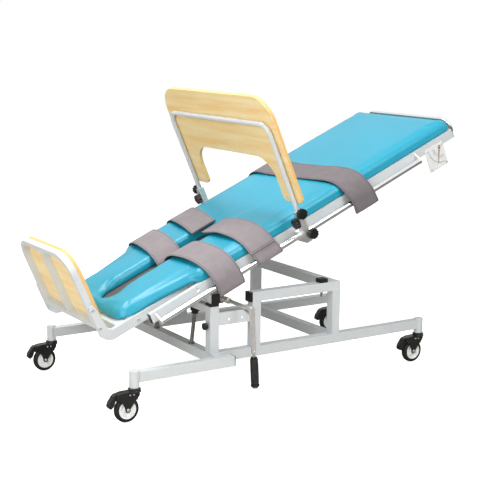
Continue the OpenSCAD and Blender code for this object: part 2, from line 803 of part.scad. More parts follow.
module jack_screw() {
    eye_play = eye_play_down + eye_play_up;
    eye_out = eye_pin_r + eye_wall;
    slot_r = eye_pin_r + run_gap;
    color("#a8abad") at_jack() difference() {
        union() {
            translate([0, 0, -screw_below])
                cylinder(r = screw_r, h = jack_length + screw_below - eye_play_down - eye_out);
            translate([0, -eye_t / 2, 0]) along(eye_t) {
                for (play = [-eye_play_down, eye_play_up]) translate([0, jack_length + play]) circle(eye_out);
                translate([-eye_out, jack_length - eye_play_down]) square([2 * eye_out, eye_play]);
                translate([-screw_r * 0.9, jack_length - eye_play_down - 2 * eye_out])
                    square([screw_r * 1.8, 2 * eye_out]);
            }
        }
        for (play = [-eye_play_down, eye_play_up]) translate([0, -eye_t, jack_length + play])
            rotate([-90, 0, 0]) cylinder(r = slot_r, h = 2 * eye_t);
        translate([-slot_r, -eye_t, jack_length - eye_play_down]) cube([2 * slot_r, 2 * eye_t, eye_play]);
    }
}

// Crank: shaft with a universal joint, then the tapered arm with its fork
arm_top = 10;
arm_foot = 8.5;
arm_t = 12;
joint_y = 240;
joint_r = 13;
joint_l = 22;
joint_pin_r = 4;
joint_pin_over = 3;
shaft_over = 2;
fork_gap = 9;
link_pin_r = 3.5;
module at_crank() {
    translate([crank_x, 0, crank_z]) rotate([0, -arm_lean, 0]) children();
}
module crank() {
    color("#c9cccf") at_crank() {
        translate([0, -jack_y - shaft_in, 0]) rotate([90, 0, 0])
            cylinder(r = shaft_r, h = crank_y - jack_y - shaft_in + arm_t / 2 + shaft_over);
        for (d = [-1, 1]) translate([0, -joint_y + d * joint_l * 0.7 + joint_l / 2, 0]) rotate([90, 0, 0])
            cylinder(r = joint_r, h = joint_l);
        translate([-joint_r - joint_pin_over, -joint_y, 0]) rotate([0, 90, 0])
            cylinder(r = joint_pin_r, h = 2 * (joint_r + joint_pin_over));
        difference() {
            translate([0, -crank_y - arm_t / 2, 0]) along(arm_t) {
                circle(arm_top);
                polygon([[-arm_top, 0], [-arm_foot, -arm_l], [arm_foot, -arm_l], [arm_top, 0]]);
                translate([0, -arm_l]) circle(arm_foot);
            }
            translate([-fork_gap / 2, -crank_y - arm_t, -arm_l - 2 * arm_foot])
                cube([fork_gap, 2 * arm_t, 3 * arm_foot]);
            translate([-2 * arm_foot, -crank_y, -arm_l]) rotate([0, 90, 0])
                cylinder(r = link_pin_r, h = 4 * arm_foot);
        }
    }
}

link_l = 20;
spindle_r = 5;
module crank_link() {
    color("#8f9294") at_crank() translate([0, -crank_y, -arm_l]) {
        rotate([0, 90, 0]) translate([0, 0, -arm_foot]) cylinder(r = link_pin_r - fit, h = 2 * arm_foot);
        translate([-fork_gap / 2 + fit, 0, 0]) rotate([0, 90, 0])
            cylinder(r = arm_t / 2, h = fork_gap - 2 * fit);
        translate([0, 0, -link_l - grip_l - cap_t])
            cylinder(r = spindle_r, h = link_l + grip_l + cap_t - arm_foot * 1.2);
        translate([0, 0, -link_l - grip_l - 2 * cap_t]) cylinder(r = grip_r * 0.8, h = cap_t);
        translate([-(fork_gap / 2 - fit), -spindle_r, -arm_foot * 1.6])
            cube([fork_gap - 2 * fit, 2 * spindle_r, arm_foot * 1.6]);
    }
}

grip_ribs = 8;
module crank_grip() {
    pitch = grip_l / grip_ribs;
    color("#1c1c1c") at_crank() translate([0, -crank_y, -arm_l - link_l - grip_l]) difference() {
        union() {
            cylinder(r = grip_r * 0.9, h = grip_l);
            for (i = [0:grip_ribs - 1]) translate([0, 0, (i + 0.2) * pitch])
                cylinder(r = grip_r, h = pitch * 0.6);
        }
        translate([0, 0, -over]) cylinder(r = spindle_r + fit, h = grip_l + 2 * over);
    }
}

// Tray

sleeve = 28;
sleeve_from = -20;
sleeve_to = 118;
jaw_l = 62;
jaw_in = 6;
jaw_h = 42;
knob_screw_r = 4;
knob_gap = 3;
knob_a_h = 109;
knob_b_h = 74;
knob_c_off = 19;
knob_c_s = tray_s + knob_c_off;
knob_c_h = 9;
post_y = tray_w / 2;
module tray_clamps() {
    sleeve_h = sleeve_to - sleeve_from;
    jaw_w = post_y - sleeve / 2 - bed_w / 2 - jaw_in;
    color("#c6c9cb") on_bed() both_sides() difference() {
        union() {
            translate([tray_s - sleeve / 2, post_y - sleeve / 2, sleeve_from])
                cube([sleeve, sleeve, sleeve_h]);
            translate([tray_s - sleeve / 2, bed_w / 2 + jaw_in, sleeve_from])
                cube([sleeve / 2 + jaw_l / 2, jaw_w, jaw_h]);
        }
        translate([tray_s, post_y, sleeve_from - over]) cylinder(r = tray_r + fit, h = sleeve_h + 2 * over);
        translate([tray_s - sleeve, acc_y, 0]) rotate([0, 90, 0]) cylinder(r = acc_r + fit, h = 2 * jaw_l);
        translate([tray_s - sleeve, bed_w / 2, sleeve_from - over])
            cube([2 * jaw_l, acc_out - acc_r / 2, over - sleeve_from]);
        translate([tray_s, post_y, knob_a_h]) rotate([-90, 0, 0])
            cylinder(r = knob_screw_r + fit, h = sleeve);
        translate([tray_s, post_y, knob_b_h]) rotate([0, -90, 0])
            cylinder(r = knob_screw_r + fit, h = sleeve);
        translate([knob_c_s, acc_y + acc_r / 2, knob_c_h]) rotate([-90, 0, 0])
            cylinder(r = knob_screw_r + fit, h = post_y);
    }
}

module tray_tube() {
    color("#cfd2d4") on_bed() {
        both_sides() {
            translate([tray_s, post_y, -tray_r]) cylinder(r = tray_r, h = tray_h - tray_bend + tray_r);
            translate([tray_s, post_y - tray_bend, tray_h - tray_bend]) rotate([90, 0, 90])
                rotate_extrude(angle = 90) translate([tray_bend, 0]) circle(tray_r);
        }
        bar([tray_s, -post_y + tray_bend, tray_h], [tray_s, post_y - tray_bend, tray_h], tray_r);
    }
}

cut_r = 100;
arm_round = 20;
module tray_board() {
    arm_w = (tray_board_w - cut_w) / 2;
    color("#f0cf94") on_bed() translate([tray_s + tray_r + soft_gap, 0, 0]) across(wood_t) {
        difference() {
            translate([0, tray_foot + arm_round])
                arch(tray_board_w, tray_top - tray_foot - arm_round, tray_corner);
            translate([0, tray_foot]) arch(cut_w, cut_top - tray_foot, cut_r);
        }
        for (side = [-1, 1]) translate([side * (tray_board_w - arm_w) / 2, 0]) {
            translate([arm_round - arm_w / 2, tray_foot]) square([arm_w - 2 * arm_round, 2 * arm_round]);
            for (d = [-1, 1]) translate([d * (arm_w / 2 - arm_round), tray_foot + arm_round])
                circle(arm_round);
        }
    }
}

// Hand knob with ten lobes, its screw pointing down from z = 0
lobes = 10;
lobe_r = 4.5;
module hand_knob(screw_l) {
    color("#1c1c1c") {
        translate([0, 0, -screw_l]) cylinder(r = knob_screw_r, h = screw_l + knob_t / 2);
        translate([0, 0, knob_gap]) linear_extrude(knob_t) {
            circle(knob_r - lobe_r * 0.6);
            for (i = [0:lobes - 1]) rotate(i * 360 / lobes) translate([knob_r - lobe_r, 0]) circle(lobe_r);
        }
    }
}
sleeve_out = post_y + sleeve / 2;
grip_depth = sleeve / 2 - tray_r - soft_gap;
module knob_a(side) {
    on_bed() translate([tray_s, side * sleeve_out, knob_a_h]) rotate([-side * 90, 0, 0])
        hand_knob(grip_depth);
}
module knob_b(side) {
    on_bed() translate([tray_s - sleeve / 2, side * post_y, knob_b_h]) rotate([0, -90, 0])
        hand_knob(grip_depth);
}
module knob_c(side) {
    on_bed() translate([knob_c_s, side * sleeve_out, knob_c_h]) rotate([-side * 90, 0, 0])
        hand_knob(sleeve_out - acc_y - acc_r - soft_gap);
}

// Casters, drawn round the swivel axis

cheek_t = 3;
cheek_gap = 2;
crown_z = 110;
crown_r = 22;
axle_r = 5;
axle_over = 2;
hub_r = 36;
ear_x = -40;
ear_z = 104;
ear_r = 8;
pedal_pin_r = 3;
cheek_y = wheel_w / 2 + cheek_gap;
module at_caster(x, y) {
    translate([x, y, 0]) children();
}
module caster_fork() {
    color("#2a2a2a") {
        translate([0, 0, crown_z]) cylinder(r = stem_r, h = caster_h - crown_z + stem_l);
        translate([0, 0, crown_z]) cylinder(r = crown_r, h = caster_h - crown_z);
        translate([-trail - ear_r, -cheek_y - cheek_t, crown_z])
            cube([trail + ear_r, 2 * (cheek_y + cheek_t), cheek_t * 2]);
        both_sides() translate([0, cheek_y, 0]) difference() {
            along(cheek_t) {
                polygon([[-trail - axle_r * 2, wheel_r], [-trail + axle_r * 2, wheel_r],
                    [crown_r * 0.6, crown_z], [crown_r * 0.6, crown_z + cheek_t * 2],
                    [-trail + ear_x + ear_r, crown_z + cheek_t * 2],
                    [-trail + ear_x, ear_z + ear_r], [-trail + ear_x, ear_z - ear_r]]);
                translate([-trail, wheel_r]) circle(axle_r * 2);
                translate([-trail + ear_x, ear_z]) circle(ear_r);
            }
            translate([-trail + ear_x, -over, ear_z]) rotate([-90, 0, 0])
                cylinder(r = pedal_pin_r + fit, h = cheek_t + 2 * over);
        }
        translate([-trail, -cheek_y - cheek_t - axle_over, wheel_r]) rotate([-90, 0, 0])
            cylinder(r = axle_r, h = 2 * (cheek_y + cheek_t + axle_over));
    }
}
tyre_round = 5;
module caster_wheel() {
    color("#1c1c1c") translate([-trail, wheel_w / 2, wheel_r]) rotate([90, 0, 0]) rotate_extrude($fn = 96) {
        translate([hub_r + fit, 0]) square([wheel_r - tyre_round - hub_r - fit, wheel_w]);
        translate([hub_r + fit, tyre_round]) square([wheel_r - hub_r - fit, wheel_w - 2 * tyre_round]);
        for (z = [tyre_round, wheel_w - tyre_round]) translate([wheel_r - tyre_round, z]) circle(tyre_round);
    }
    color("#d8dadb") translate([-trail, wheel_w / 2, wheel_r]) rotate([90, 0, 0]) rotate_extrude($fn = 96)
        translate([axle_r + fit, 0]) square([hub_r - axle_r - fit, wheel_w]);
}
pedal_w = 24;
pedal_eye_r = 7;
pedal_reach_shares = [[0, 0.14], [-0.26, 0.06], [-0.96, -0.72], [-1.04, -0.66], [-0.3, 0.2], [0, 0.28]];
pedal_l = 50;
module caster_pedal() {
    color("#2a2a2a") translate([-trail + ear_x, -pedal_w / 2, ear_z]) {
        along(pedal_w) {
            circle(pedal_eye_r);
            polygon([for (p = pedal_reach_shares) p * pedal_l]);
        }
        translate([0, -cheek_gap - cheek_t, 0]) rotate([-90, 0, 0])
            cylinder(r = pedal_pin_r, h = pedal_w + 2 * (cheek_gap + cheek_t));
    }
}
foot_y = foot_track / 2;
head_y = head_track / 2;

module fork_foot_near() { at_caster(foot_socket_x, -foot_y) caster_fork(); }
module fork_foot_far() { at_caster(foot_socket_x, foot_y) caster_fork(); }
module fork_head_near() { at_caster(head_socket_x, -head_y) caster_fork(); }
module fork_head_far() { at_caster(head_socket_x, head_y) caster_fork(); }
module wheel_foot_near() { at_caster(foot_socket_x, -foot_y) caster_wheel(); }
module wheel_foot_far() { at_caster(foot_socket_x, foot_y) caster_wheel(); }
module wheel_head_near() { at_caster(head_socket_x, -head_y) caster_wheel(); }
module wheel_head_far() { at_caster(head_socket_x, head_y) caster_wheel(); }
module pedal_foot_near() { at_caster(foot_socket_x, -foot_y) caster_pedal(); }
module pedal_foot_far() { at_caster(foot_socket_x, foot_y) caster_pedal(); }
module pedal_head_near() { at_caster(head_socket_x, -head_y) caster_pedal(); }
module pedal_head_far() { at_caster(head_socket_x, head_y) caster_pedal(); }
module knob_a_near() { knob_a(-1); }
module knob_b_near() { knob_b(-1); }
module knob_c_near() { knob_c(-1); }
module knob_a_far() { knob_a(1); }
module knob_b_far() { knob_b(1); }
module knob_c_far() { knob_c(1); }

leg_rails();
lower_rails();
cross_tubes();
posts();
upper_rails();
pivot_beam();
frame_caps();
side_plates();
hinge_brackets();
caster_sockets();
buffers();
stop_rods();
stop_caps();
post_knob();
side_rails();
side_rail_caps();
bed_cross_tubes();
leg_bars();
pivot_pins();
pad();
pad_base();
footboard_frame();
footboard_panel();
bed_screws();
accessory_rails();
rail_brackets();
push_handle();
gauge_plate();
gauge_needle();
shin_straps();
thigh_straps();
chest_strap();
jack_housing();
jack_screw();
crank();
crank_link();
crank_grip();
tray_clamps();
tray_tube();
tray_board();
knob_a_near();
knob_b_near();
knob_c_near();
knob_a_far();
knob_b_far();
knob_c_far();
fork_foot_near();
fork_foot_far();
fork_head_near();
fork_head_far();
wheel_foot_near();
wheel_foot_far();
wheel_head_near();
wheel_head_far();
pedal_foot_near();
pedal_foot_far();
pedal_head_near();
pedal_head_far();
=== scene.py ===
"""Looks of the physiotherapy tilt table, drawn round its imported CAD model.

Pieces of the bed are drawn in bed coordinates in millimetres, (s, y, n): along the bed from the foot
end of its rails, across it to the far side, and up from the underside of its rails. Each operator draws
one group of pieces, and main() runs them all.
"""

import json
import math

import bmesh
import bpy
import numpy as np
from mathutils import Matrix


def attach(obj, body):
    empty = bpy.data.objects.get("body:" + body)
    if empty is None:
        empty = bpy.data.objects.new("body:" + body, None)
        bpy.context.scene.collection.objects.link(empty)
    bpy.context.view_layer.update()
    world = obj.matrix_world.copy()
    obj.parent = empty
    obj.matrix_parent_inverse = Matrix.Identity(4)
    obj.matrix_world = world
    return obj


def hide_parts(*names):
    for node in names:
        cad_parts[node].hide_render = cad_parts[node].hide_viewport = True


bl_info = {
    "name": "Tilt table looks",
    "version": (1, 0, 0),
    "blender": (4, 5, 0),
    "location": "3D View > Sidebar > Tilt table",
    "description": "Pad, straps, wood, metal, casters and stage of the tilt table",
    "category": "Object",
}

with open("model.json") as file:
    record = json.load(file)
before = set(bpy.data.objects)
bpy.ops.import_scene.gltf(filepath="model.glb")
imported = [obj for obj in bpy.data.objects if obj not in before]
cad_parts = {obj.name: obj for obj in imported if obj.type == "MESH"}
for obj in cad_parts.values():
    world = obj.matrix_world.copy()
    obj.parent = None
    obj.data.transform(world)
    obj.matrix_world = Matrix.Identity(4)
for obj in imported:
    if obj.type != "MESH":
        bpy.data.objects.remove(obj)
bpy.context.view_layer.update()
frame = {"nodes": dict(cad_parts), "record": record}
BODY_OF = {name: body for body, names in frame["record"]["behaviour"]["bodies"].items() for name in names}
MM = 0.001
# An edge is rounded where its faces meet at more than this angle
SHARP = math.radians(38)

# The bed's place: its pivot in the frame, the same point in bed coordinates, and the tilt
PIVOT = np.array([-393.0, 0.0, 454.6])
PIVOT_ON_BED = np.array([224.2, 0.0, 20.0])
TILT = math.radians(23.5)
S_AXIS = np.array([math.cos(TILT), 0.0, math.sin(TILT)])
Y_AXIS = np.array([0.0, 1.0, 0.0])
N_AXIS = np.array([-math.sin(TILT), 0.0, math.cos(TILT)])


# ---------------------------------------------------------------- shapes


def unit(vectors):
    """The vectors at length one."""
    return vectors / np.linalg.norm(vectors, axis=-1, keepdims=True)


def length_along(line):
    """How far each point of a line is from its start, along it."""
    return np.concatenate([[0], np.cumsum(np.linalg.norm(np.diff(line, axis=0), axis=1))])


def on_bed(points):
    """Bed coordinates in millimetres to the frame in metres: each point is the pivot plus its distances
    from the pivot along the bed, across it and up from it."""
    p = np.asarray(points, float) - PIVOT_ON_BED
    return MM * (PIVOT + p[..., :1] * S_AXIS + p[..., 1:2] * Y_AXIS + p[..., 2:3] * N_AXIS)


def axis_frame(origin, axis, first):
    """A place for a turned shape: a function that carries (x, y, z) in millimetres, z along axis and x
    along first, to the frame in metres."""
    z = unit(np.asarray(axis, float))
    x = unit(np.asarray(first, float) - z * np.dot(first, z))
    y = np.cross(z, x)
    o = np.asarray(origin, float)
    return lambda p: MM * (o + p[..., :1] * x + p[..., 1:2] * y + p[..., 2:3] * z)


def smooth_line(points, count):
    """A smooth line through the given points: a Catmull-Rom cubic between each two neighbours, then
    evenly spaced by arc length."""
    p = np.asarray(points, float)
    ends = np.vstack([2 * p[0] - p[1], p, 2 * p[-1] - p[-2]])
    t = np.linspace(0, 1, 24, endpoint=False)[:, None, None]
    a, b, c, d = ends[:-3], ends[1:-2], ends[2:-1], ends[3:]
    q = 0.5 * (2 * b + (c - a) * t + (2 * a - 5 * b + 4 * c - d) * t**2 + (3 * b - a - 3 * c + d) * t**3)
    line = np.vstack([q.transpose(1, 0, 2).reshape(-1, p.shape[1]), p[-1:]])
    length = length_along(line)
    at = np.linspace(0, length[-1], count)
    return np.stack([np.interp(at, length, line[:, k]) for k in range(line.shape[1])], axis=1)


def add_mesh(name, points, faces, uv=None):
    """A mesh object from whole arrays: points in metres, quads and triangles as lists of corners, and a
    uv pair for each corner in face order."""
    mesh = bpy.data.meshes.new(name)
    mesh.from_pydata(points.reshape(-1, 3).tolist(), [], faces)
    if uv is not None:
        layer = mesh.uv_layers.new(name="uv")
        layer.data.foreach_set("uv", np.asarray(uv, np.float32).ravel())
    mesh.shade_smooth()
    mesh.validate()
    obj = bpy.data.objects.new(name, mesh)
    bpy.context.scene.collection.objects.link(obj)
    return obj


def surface(name, points, around_u=False, around_v=False, caps=(), measures=None):
    """A surface of two parameters on a grid: point (i, j) joins its neighbours i + 1 and j + 1, and the
    last joins the first where the grid goes around. A cap closes the first or last row of u with one
    face. Measures are the lengths along u and along v in metres that the uv map takes."""
    nu, nv = points.shape[:2]
    i = np.arange(nu if around_u else nu - 1)[:, None]
    j = np.arange(nv if around_v else nv - 1)[None, :]
    at = lambda a, b: (a % nu) * nv + b % nv
    quads = np.stack([at(i, j), at(i + 1, j), at(i + 1, j + 1), at(i, j + 1)], axis=-1).reshape(-1, 4)
    if measures is None:
        measures = (np.arange(nu + 1) / nu, np.arange(nv + 1) / nv)
    u, v = measures
    a, b = np.broadcast_arrays(i, j)
    uv = np.stack([u[np.stack([a, a + 1, a + 1, a], axis=-1)],
                   v[np.stack([b, b, b + 1, b + 1], axis=-1)]], axis=-1)
    faces, uvs = quads.tolist(), [uv.reshape(-1, 2)]
    for end in caps:
        row = np.arange(nv) + (nu - 1) * nv * end
        faces.append((row if end else row[::-1]).tolist())
        uvs.append(np.zeros((nv, 2)))
    return add_mesh(name, points, faces, np.vstack(uvs))


def turned(name, profile, place, segments=48):
    """A turned shape: the profile's radius and height go once round the axis. A profile that starts and
    ends at radius zero is closed by its two end faces; any other is a closed ring."""
    profile = np.asarray(profile, float)
    angle = np.linspace(0, 2 * math.pi, segments, endpoint=False)
    r = np.repeat(profile[:, :1], segments, axis=1)
    z = np.repeat(profile[:, 1:2], segments, axis=1)
    local = np.stack([r * np.cos(angle), r * np.sin(angle), z], axis=-1)
    ring = profile[0, 0] > 0.2 and profile[-1, 0] > 0.2
    obj = surface(name, place(local), around_u=ring, around_v=True, caps=() if ring else (0, 1))
    return face_outward(obj)


def face_outward(obj):
    """Merges doubles and turns the faces of a closed shape outward."""
    bm = bmesh.new()
    bm.from_mesh(obj.data)
    bmesh.ops.remove_doubles(bm, verts=bm.verts, dist=1e-6)
    bmesh.ops.recalc_face_normals(bm, faces=bm.faces)
    bm.to_mesh(obj.data)
    bm.free()
    return obj


def rounded(obj, edge, segments=2):
    """Rounds the sharp edges of a piece."""
    obj.data.set_sharp_from_angle(angle=SHARP)
    bevel = obj.modifiers.new("Rounded edges", "BEVEL")
    bevel.width = edge * MM
    bevel.segments = segments
    bevel.limit_method = "ANGLE"
    bevel.angle_limit = SHARP
    bevel.harden_normals = True
    return obj


def prism(name, outline, low, high, place):
    """A flat piece: its outline lies in the plane of x and z, and goes from low to high along y."""
    p = np.asarray(outline, float)
    points = np.stack([np.insert(p, 1, y, axis=1) for y in (low, high)])
    return face_outward(surface(name, place(points), around_v=True, caps=(0, 1)))


def cut_corners(corners, steps=6):
    """A closed outline of corners (x, z, cut): each corner is cut back by that length along both of its
    sides and joined by a parabola."""
    c = np.asarray(corners, float)
    p, cut = c[:, :2], c[:, 2:]
    ends = []
    for other in (np.roll(p, 1, axis=0) - p, np.roll(p, -1, axis=0) - p):
        ends.append(p + cut * unit(other))
    share = np.linspace(0, 1, steps)[None, :, None]
    a, b = ends[0][:, None], ends[1][:, None]
    return ((1 - share) ** 2 * a + 2 * share * (1 - share) * p[:, None] + share**2 * b).reshape(-1, 2)


def joined(parts, name):
    """Joins the parts into one piece with all their materials."""
    with bpy.context.temp_override(active_object=parts[0], object=parts[0], selected_editable_objects=parts,
                                   selected_objects=parts):
        bpy.ops.object.join()
    parts[0].name = name
    return parts[0]


def softened(node, edge, segments=2):
    """A copy of a CAD node with its doubles merged and its sharp edges rounded, which stands for it."""
    source = frame["nodes"][node]
    bm = bmesh.new()
    bm.from_mesh(source.data)
    bmesh.ops.remove_doubles(bm, verts=bm.verts, dist=1e-6)
    bmesh.ops.dissolve_limit(bm, angle_limit=math.radians(0.5), verts=bm.verts, edges=bm.edges)
    mesh = bpy.data.meshes.new(node + "_finish")
    bm.to_mesh(mesh)
    bm.free()
    mesh.shade_smooth()
    obj = bpy.data.objects.new(node + "_finish", mesh)
    bpy.context.scene.collection.objects.link(obj)
    return stands_for(rounded(obj, edge, segments), node)


def stands_for(obj, node):
    """The piece rides on the body of the node that it replaces."""
    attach(obj, BODY_OF[node])
    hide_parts(node)
    return obj


def paint(obj, *materials, slots=None):
    """Puts the materials in the piece's slots, and gives each face its slot's number."""
    obj.data.materials.clear()
    for material in materials:
        obj.data.materials.append(material)
    if slots is not None:
        obj.data.polygons.foreach_set("material_index", slots.astype(np.int32))
    return obj


def dress(nodes, edge, material, segments=2):
    """Copies of CAD nodes, with rounded edges and a material, that stand for them."""
    for node in nodes:
        paint(softened(node, edge, segments), material)


# ---------------------------------------------------------------- materials


def linear(code):
    """An sRGB hex colour as linear light."""
    values = [int(code[k : k + 2], 16) / 255 for k in (1, 3, 5)]
    return [v / 12.92 if v <= 0.04045 else ((v + 0.055) / 1.055) ** 2.4 for v in values] + [1.0]


def shade(colour, share=1.0):
    """A colour in linear light times a share."""
    return [share * v for v in colour[:3]] + [1.0]


def put(tree, kind, inputs=None, **settings):
    """Adds a node with its settings. Each input is a value, or another node's output to link."""
    made = tree.nodes.new(kind)
    for name, value in settings.items():
        setattr(made, name, value)
    for name, value in (inputs or {}).items():
        socket = made.inputs[name]
        if isinstance(value, bpy.types.NodeSocket):
            tree.links.new(value, socket)
        else:
            socket.default_value = value
    return made


def new_material(name):
    """A material with its node tree emptied but for the output."""
    material = bpy.data.materials.new(name)
    material.use_nodes = True
    material.node_tree.nodes.clear()
    return material, material.node_tree


def finish(material, bump=None, **values):
    """The Principled shader and the output. Values name its sockets, with _ for a space."""
    tree = material.node_tree
    inputs = {name.replace("_", " "): value for name, value in values.items()}
    if bump is not None:
        inputs["Normal"] = bump
    put(tree, "ShaderNodeOutputMaterial", {"Surface": put(tree, "ShaderNodeBsdfPrincipled", inputs).outputs[0]})
    return material


def object_place(tree, turn=(0, 0, 0), size=(1, 1, 1)):
    """The Object coordinates in metres, turned so that a pattern lies along the piece."""
    place = put(tree, "ShaderNodeTexCoord").outputs["Object"]
    return put(tree, "ShaderNodeMapping", {"Vector": place, "Rotation": turn, "Scale": size}).outputs[0]


def maths(tree, operation, *values):
    """The result of a sum of these values."""
    return put(tree, "ShaderNodeMath", dict(enumerate(values)), operation=operation).outputs[0]


def noise(tree, vector, millimetres, detail=3.0, rough=0.55):
    """Noise whose features are about this many millimetres apart."""
    return put(tree, "ShaderNodeTexNoise", {"Vector": vector, "Scale": 1000.0 / millimetres, "Detail": detail,
                                            "Roughness": rough}).outputs["Fac"]


def blended(tree, share, low, high):
    """The colour low with a share of the colour high."""
    return put(tree, "ShaderNodeMix", {0: share, 6: low, 7: high}, data_type="RGBA").outputs[2]


def between(tree, fac, low, high, start=0.3, end=0.7):
    """A value or colour that goes from low to high as fac goes from start to end. Most of a noise lies
    between 0.3 and 0.7."""
    if isinstance(low, (list, tuple)):
        share = put(tree, "ShaderNodeMapRange", {"Value": fac, "From Min": start, "From Max": end}).outputs[0]
        return blended(tree, share, low, high)
    return put(tree, "ShaderNodeMapRange", {"Value": fac, "From Min": start, "From Max": end, "To Min": low,
                                            "To Max": high}).outputs[0]


def bump_of(tree, height, millimetres, strength=1.0):
    """A bump of this height."""
    return put(tree, "ShaderNodeBump", {"Height": height, "Distance": millimetres * MM,
                                        "Strength": strength}).outputs[0]


def powder_coat(name, colour):
    """Polyester powder coat, sprayed and baked on steel tube: a soft gloss with orange peel about 3 mm
    across, drawn coarser than the real 1 mm so that it breaks up the highlights."""
    material, tree = new_material(name)
    place = object_place(tree)
    peel = noise(tree, place, 3.0, 2.0)
    cloud = noise(tree, place, 180.0, 2.0)
    return finish(material, bump_of(tree, peel, 0.05), IOR=1.5,
                  Base_Color=between(tree, cloud, shade(colour, 0.95), shade(colour)),
                  Roughness=between(tree, cloud, 0.42, 0.34))


def chromed(name):
    """Bright chrome plate on polished tube: mirror-like, with faint drawing lines."""
    material, tree = new_material(name)
    place = object_place(tree, (0, TILT, 0), (0.05, 1, 1))
    lines = noise(tree, place, 1.2, 3.0)
    return finish(material, bump_of(tree, lines, 0.01), Base_Color=linear("#E9EAEA"), Metallic=1.0,
                  Roughness=between(tree, lines, 0.07, 0.16))


def satin_metal(name, code="#B9BBBC", rough=0.3):
    """Turned or pressed metal with a thin plating of zinc or nickel, or oiled: its colour is the code's,
    and clouds 9 mm across in colour and roughness give it an uneven satin sheen."""
    material, tree = new_material(name)
    place = object_place(tree)
    cloud = noise(tree, place, 9.0, 3.0)
    return finish(material, bump_of(tree, noise(tree, place, 3.0, 2.0), 0.012),
                  Base_Color=between(tree, cloud, shade(linear(code), 0.88), linear(code)), Metallic=1.0,
                  Roughness=between(tree, cloud, rough - 0.05, rough + 0.06))


def backing_cloth(name):
    """Non-woven polyester cloth, stapled under the pad: a dull grey felt with matted fibres 2 mm apart, drawn
    darker than its own grey as painted shade for the leg slot.
    """
    material, tree = new_material(name)
    place = object_place(tree)
    fibres = noise(tree, place, 2.0, 4.0, 0.7)
    return finish(material, bump_of(tree, fibres, 0.15, 0.8), Roughness=0.9, IOR=1.5,
                  # Both greys are darker than the felt's own colour: painted shade for where it shows in the
                  # leg slot.
                  Base_Color=between(tree, fibres, linear("#474541"), linear("#696762")))


def leathercloth(name, colour):
    """PVC leathercloth, embossed with a fine leather grain 1.8 mm across and stretched over foam: a
    satin face with soft wide highlights."""
    material, tree = new_material(name)
    place = object_place(tree)
    cells = put(tree, "ShaderNodeTexVoronoi", {"Vector": place, "Scale": 1000.0 / 1.8},
                feature="DISTANCE_TO_EDGE")
    grain = between(tree, cells.outputs["Distance"], 0.0, 1.0, 0.0, 0.12)
    cloud = noise(tree, place, 260.0, 2.0)
    fine = noise(tree, place, 2.4, 3.0)
    first = put(tree, "ShaderNodeBump", {"Height": grain, "Distance": 0.06 * MM, "Strength": 0.7})
    second = put(tree, "ShaderNodeBump", {"Height": fine, "Distance": 0.08 * MM, "Strength": 0.6,
                                          "Normal": first.outputs[0]})
    return finish(material, second.outputs[0], IOR=1.53,
                  Base_Color=between(tree, cloud, shade(colour, 0.92), shade(colour)),
                  Roughness=between(tree, fine, 0.29, 0.38))


def beech_face(name, turn):
    """Beech plywood, rotary-cut face under clear lacquer: pale honey wood with long soft figure and
    short darker flecks, about 8 mm long."""
    material, tree = new_material(name)
    place = object_place(tree, turn)
    drawn = lambda s: put(tree, "ShaderNodeMapping", {"Vector": place, "Scale": (1.0, s, 1.0)}).outputs[0]
    figure = noise(tree, drawn(0.09), 34.0, 4.0, 0.6)
    fleck = noise(tree, drawn(0.14), 2.2, 2.0)
    body = between(tree, figure, linear("#FAD389"), linear("#FFE9B4"), 0.35, 0.65)
    flecks = between(tree, fleck, 0.0, 0.35, 0.6, 0.72)
    return finish(material, bump_of(tree, figure, 0.05, 0.4), Roughness=0.38, IOR=1.5, Coat_Weight=0.25,
                  Coat_Roughness=0.2, Base_Color=blended(tree, flecks, body, linear("#E3AC5C")))


def ply_edge(name, turn):
    """Sanded plywood edge, oiled: tan layers with darker glue lines, drawn 2.2 mm apart, which is coarser
    than the real 1.5 mm, so that they show."""
    material, tree = new_material(name)
    place = object_place(tree, turn)
    layers = put(tree, "ShaderNodeTexWave", {"Vector": place, "Scale": 1000.0 / 2.2 / (2 * math.pi),
                                             "Distortion": 0.6, "Detail": 2.0, "Detail Scale": 3.0},
                 bands_direction="X")
    speck = noise(tree, place, 3.0, 3.0)
    body = between(tree, layers.outputs["Fac"], linear("#E3AF62"), linear("#F8D28C"), 0.2, 0.9)
    colour = blended(tree, between(tree, speck, 0.0, 0.3, 0.5, 0.75), body, linear("#CF9548"))
    return finish(material, bump_of(tree, speck, 0.06, 0.5), Base_Color=colour, Roughness=0.55, IOR=1.5)


def moulded_black(name, code="#121111"):
    """Glass-filled polyamide, injection moulded with a fine spark-eroded texture: near black with a
    grey, broken sheen."""
    material, tree = new_material(name)
    place = object_place(tree)
    grain = noise(tree, place, 0.9, 2.0)
    cloud = noise(tree, place, 12.0, 3.0)
    return finish(material, bump_of(tree, grain, 0.05, 0.8), IOR=1.53,
                  Base_Color=between(tree, cloud, linear("#080808"), linear(code)),
                  Roughness=between(tree, cloud, 0.3, 0.44))


def rubber(name, code="#131212"):
    """Moulded rubber: dull near black, with a faint grey bloom where it is handled."""
    material, tree = new_material(name)
    place = object_place(tree)
    bloom = noise(tree, place, 14.0, 4.0)
    return finish(material, bump_of(tree, noise(tree, place, 1.4, 2.0), 0.06, 0.6),
                  Base_Color=between(tree, bloom, linear("#080808"), linear(code), 0.35, 0.7),
                  Roughness=between(tree, bloom, 0.5, 0.66, 0.35, 0.7), IOR=1.52)


def pale_plastic(name, code):
    """Polypropylene, injection moulded: near white with a waxy gloss and faint flow marks."""
    material, tree = new_material(name)
    place = object_place(tree)
    flow = noise(tree, place, 16.0, 3.0)
    return finish(material, bump_of(tree, flow, 0.2, 0.5), IOR=1.49,
                  Base_Color=between(tree, flow, linear("#E6E8E8"), linear(code)),
                  Roughness=between(tree, flow, 0.2, 0.32))


